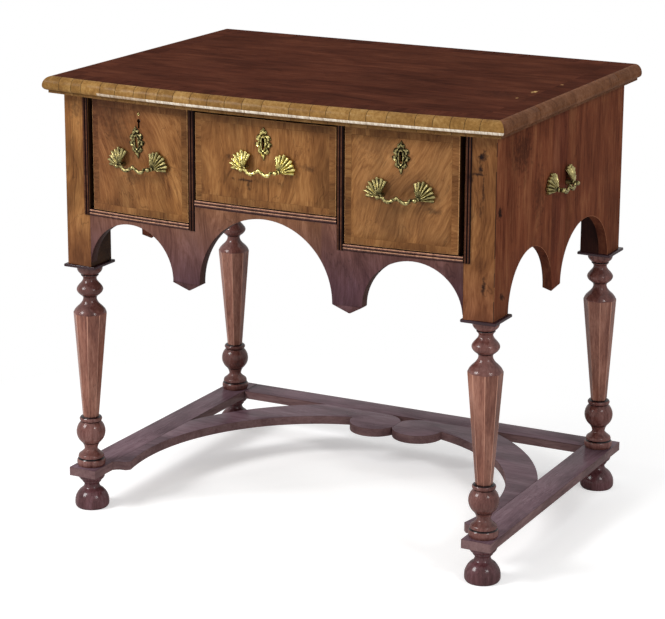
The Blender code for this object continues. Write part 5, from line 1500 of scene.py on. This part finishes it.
def make_plates():
    """The keyhole plates. The left-hand one has slipped down its drawer and leans."""
    left_x, left_z = -OUTER_MIDDLE - SLIPPED_ASIDE, LEFT_KEYHOLE_HEIGHT - SLIPPED_DOWN
    for name, x, z, lean, finish in (
        ("left", left_x, left_z, SLIPPED_LEAN, DULL_BRASS),
        ("centre", 0.0, KEYHOLE_HEIGHT, 0.0, BRASS),
        ("right", OUTER_MIDDLE, KEYHOLE_HEIGHT, 0.0, DULL_BRASS),
    ):
        leaning = Matrix.Rotation(math.radians(lean), 4, "Y")
        plate = move(plate_mesh(), on_front(x, z - BELOW_KEYHOLE) @ leaning)
        node = "escutcheon_" + name
        add("cast_" + node, plate, finish, "drawer_" + name, node, round_angle=60)


def make_pin_ring():
    """The small ring left on the left-hand drawer where its keyhole plate hung."""
    rings = []
    for angle in steps(0, 360, 20)[:-1]:
        ring = []
        wire = (PIN_WIRE_RADIUS, PIN_WIRE_RADIUS)
        for reach, out in arc((PIN_RING_RADIUS, 0.0006), wire, 0, 360, 8)[:-1]:
            x, z = at_angle((0.0, 0.0), (reach, reach), angle)
            ring.append((x, -out, z))
        rings.append(ring)
    mesh = move(loft(rings, closed=True), on_front(-OUTER_MIDDLE, PIN_HEIGHT))
    add("pin_ring_left", mesh, BRASS, "drawer_left", "escutcheon_left", round_angle=60)


# What stays from the solids


def dress_kept_nodes():
    """Better materials for the solids that stay as they are."""
    kept = {"back_panel": BACK_WOOD}
    stems = {"drawer_frame_": OAK, "drawer_bottom_": OAK, "lock_case_": IRON, "lock_bolt_": IRON}
    for stem, finish in stems.items():
        for drawer in ("left", "centre", "right"):
            kept[stem + drawer] = finish
    for node, finish in kept.items():
        for slot in bpy.data.objects[node].material_slots:
            slot.material = finish


# The room


def facing(place, away):
    """A matrix at a place, whose Z axis points away."""
    return Matrix.Translation(place) @ away.to_track_quat("Z", "Y").to_matrix().to_4x4()


def add_camera():
    """A camera at the photograph's angle."""
    level, up = at_angle((0.0, 0.0), (1.0, 1.0), ELEVATION)
    along, aside = at_angle((0.0, 0.0), (level, level), AZIMUTH)
    back = Vector((aside, -along, up))
    data = bpy.data.cameras.new("photo_camera")
    data.lens = LENS
    data.sensor_width = 36.0
    data.shift_x = SHIFT_X
    data.shift_y = SHIFT_Y
    data.clip_end = 60.0
    camera = link("photo_camera", data)
    rolled = Matrix.Rotation(math.radians(ROLL), 4, "Z")
    camera.matrix_world = facing(TARGET + DISTANCE * back, back) @ rolled
    bpy.context.scene.camera = camera


# The lights: place, size and power
LIGHTS = {
    "key": ((-2.4, -2.8, 2.9), 1.4, 130.0),
    "fill": ((3.2, -1.7, 2.6), 0.8, 34.0),
    "over": ((0.0, 0.4, 3.4), 2.6, 20.0),
}


def add_lights():
    """Square soft lights that face the table's middle."""
    for name, (place, size, power) in LIGHTS.items():
        data = bpy.data.lights.new(name, "AREA")
        data.size = size
        data.energy = power
        link(name, data).matrix_world = facing(place, Vector(place) - Vector((0.0, 0.0, 0.4)))


FLOOR_CORNERS = ((-9, -7), (9, -7), (9, 22), (-9, 22))
WHITE_FROM, WHITE_TO = 0.35, 0.95


def add_floor():
    """A white floor. Light falls on it as on paper; where the camera sees it, it fades to pure white."""
    mesh = bmesh.new()
    mesh.faces.new([mesh.verts.new((x, y, 0.0)) for x, y in FLOOR_CORNERS])
    floor = show("floor", mesh)
    n = Nodes(bpy.data.materials.new("floor_paper"))
    n.finish(Base_Color=(0.92, 0.92, 0.92, 1.0), Roughness=0.9, Specular_IOR_Level=0.0)
    paper = n.tree.nodes["Principled BSDF"].outputs[0]
    white = n.put("Emission", Color=WHITE, Strength=1.0).outputs[0]
    lit = n.put("AddShader")
    n.feed(lit.inputs[0], paper)
    n.feed(lit.inputs[1], n.put("Emission", Color=WHITE, Strength=FLOOR_GLOW).outputs[0])
    away = n.length(n.stretched(n.place(), (1.0, 1.15, 1.0)))
    far = n.put("MapRange", Value=away, From_Min=WHITE_FROM, From_Max=WHITE_TO).outputs[0]
    seen = n.mixed(far, lit.outputs[0], white)
    whole = n.mixed(n.put("LightPath").outputs["Is Camera Ray"], paper, seen)
    n.fill(n.tree.nodes["Material Output"], Surface=whole)
    floor.data.materials.append(n.owner)


def add_room():
    """White surroundings: plain light on the table, and white where the camera looks past it."""
    bpy.context.scene.world = bpy.data.worlds.new("room")
    n = Nodes(bpy.context.scene.world)
    n.tree.nodes.clear()
    rays = n.put("LightPath").outputs
    seen = n.work("Math", "MAXIMUM", rays["Is Camera Ray"], rays["Is Transmission Ray"])
    seen = n.work("Math", "MAXIMUM", seen, rays["Is Glossy Ray"])
    soft = n.put("Background", Color=WHITE, Strength=0.45).outputs[0]
    white = n.put("Background", Color=WHITE, Strength=1.0).outputs[0]
    n.put("OutputWorld", Surface=n.mixed(seen, soft, white))


add_camera()
add_room()
add_floor()
add_lights()
make_top()
make_moulding()
make_apron()
make_stiles()
make_sides()
make_side_edges()
make_partitions()
make_drawer_fronts()
make_legs()
make_stretcher()
make_handles()
make_plates()
make_pin_ring()
dress_kept_nodes()
bpy.context.scene.view_settings.view_transform = "Standard"
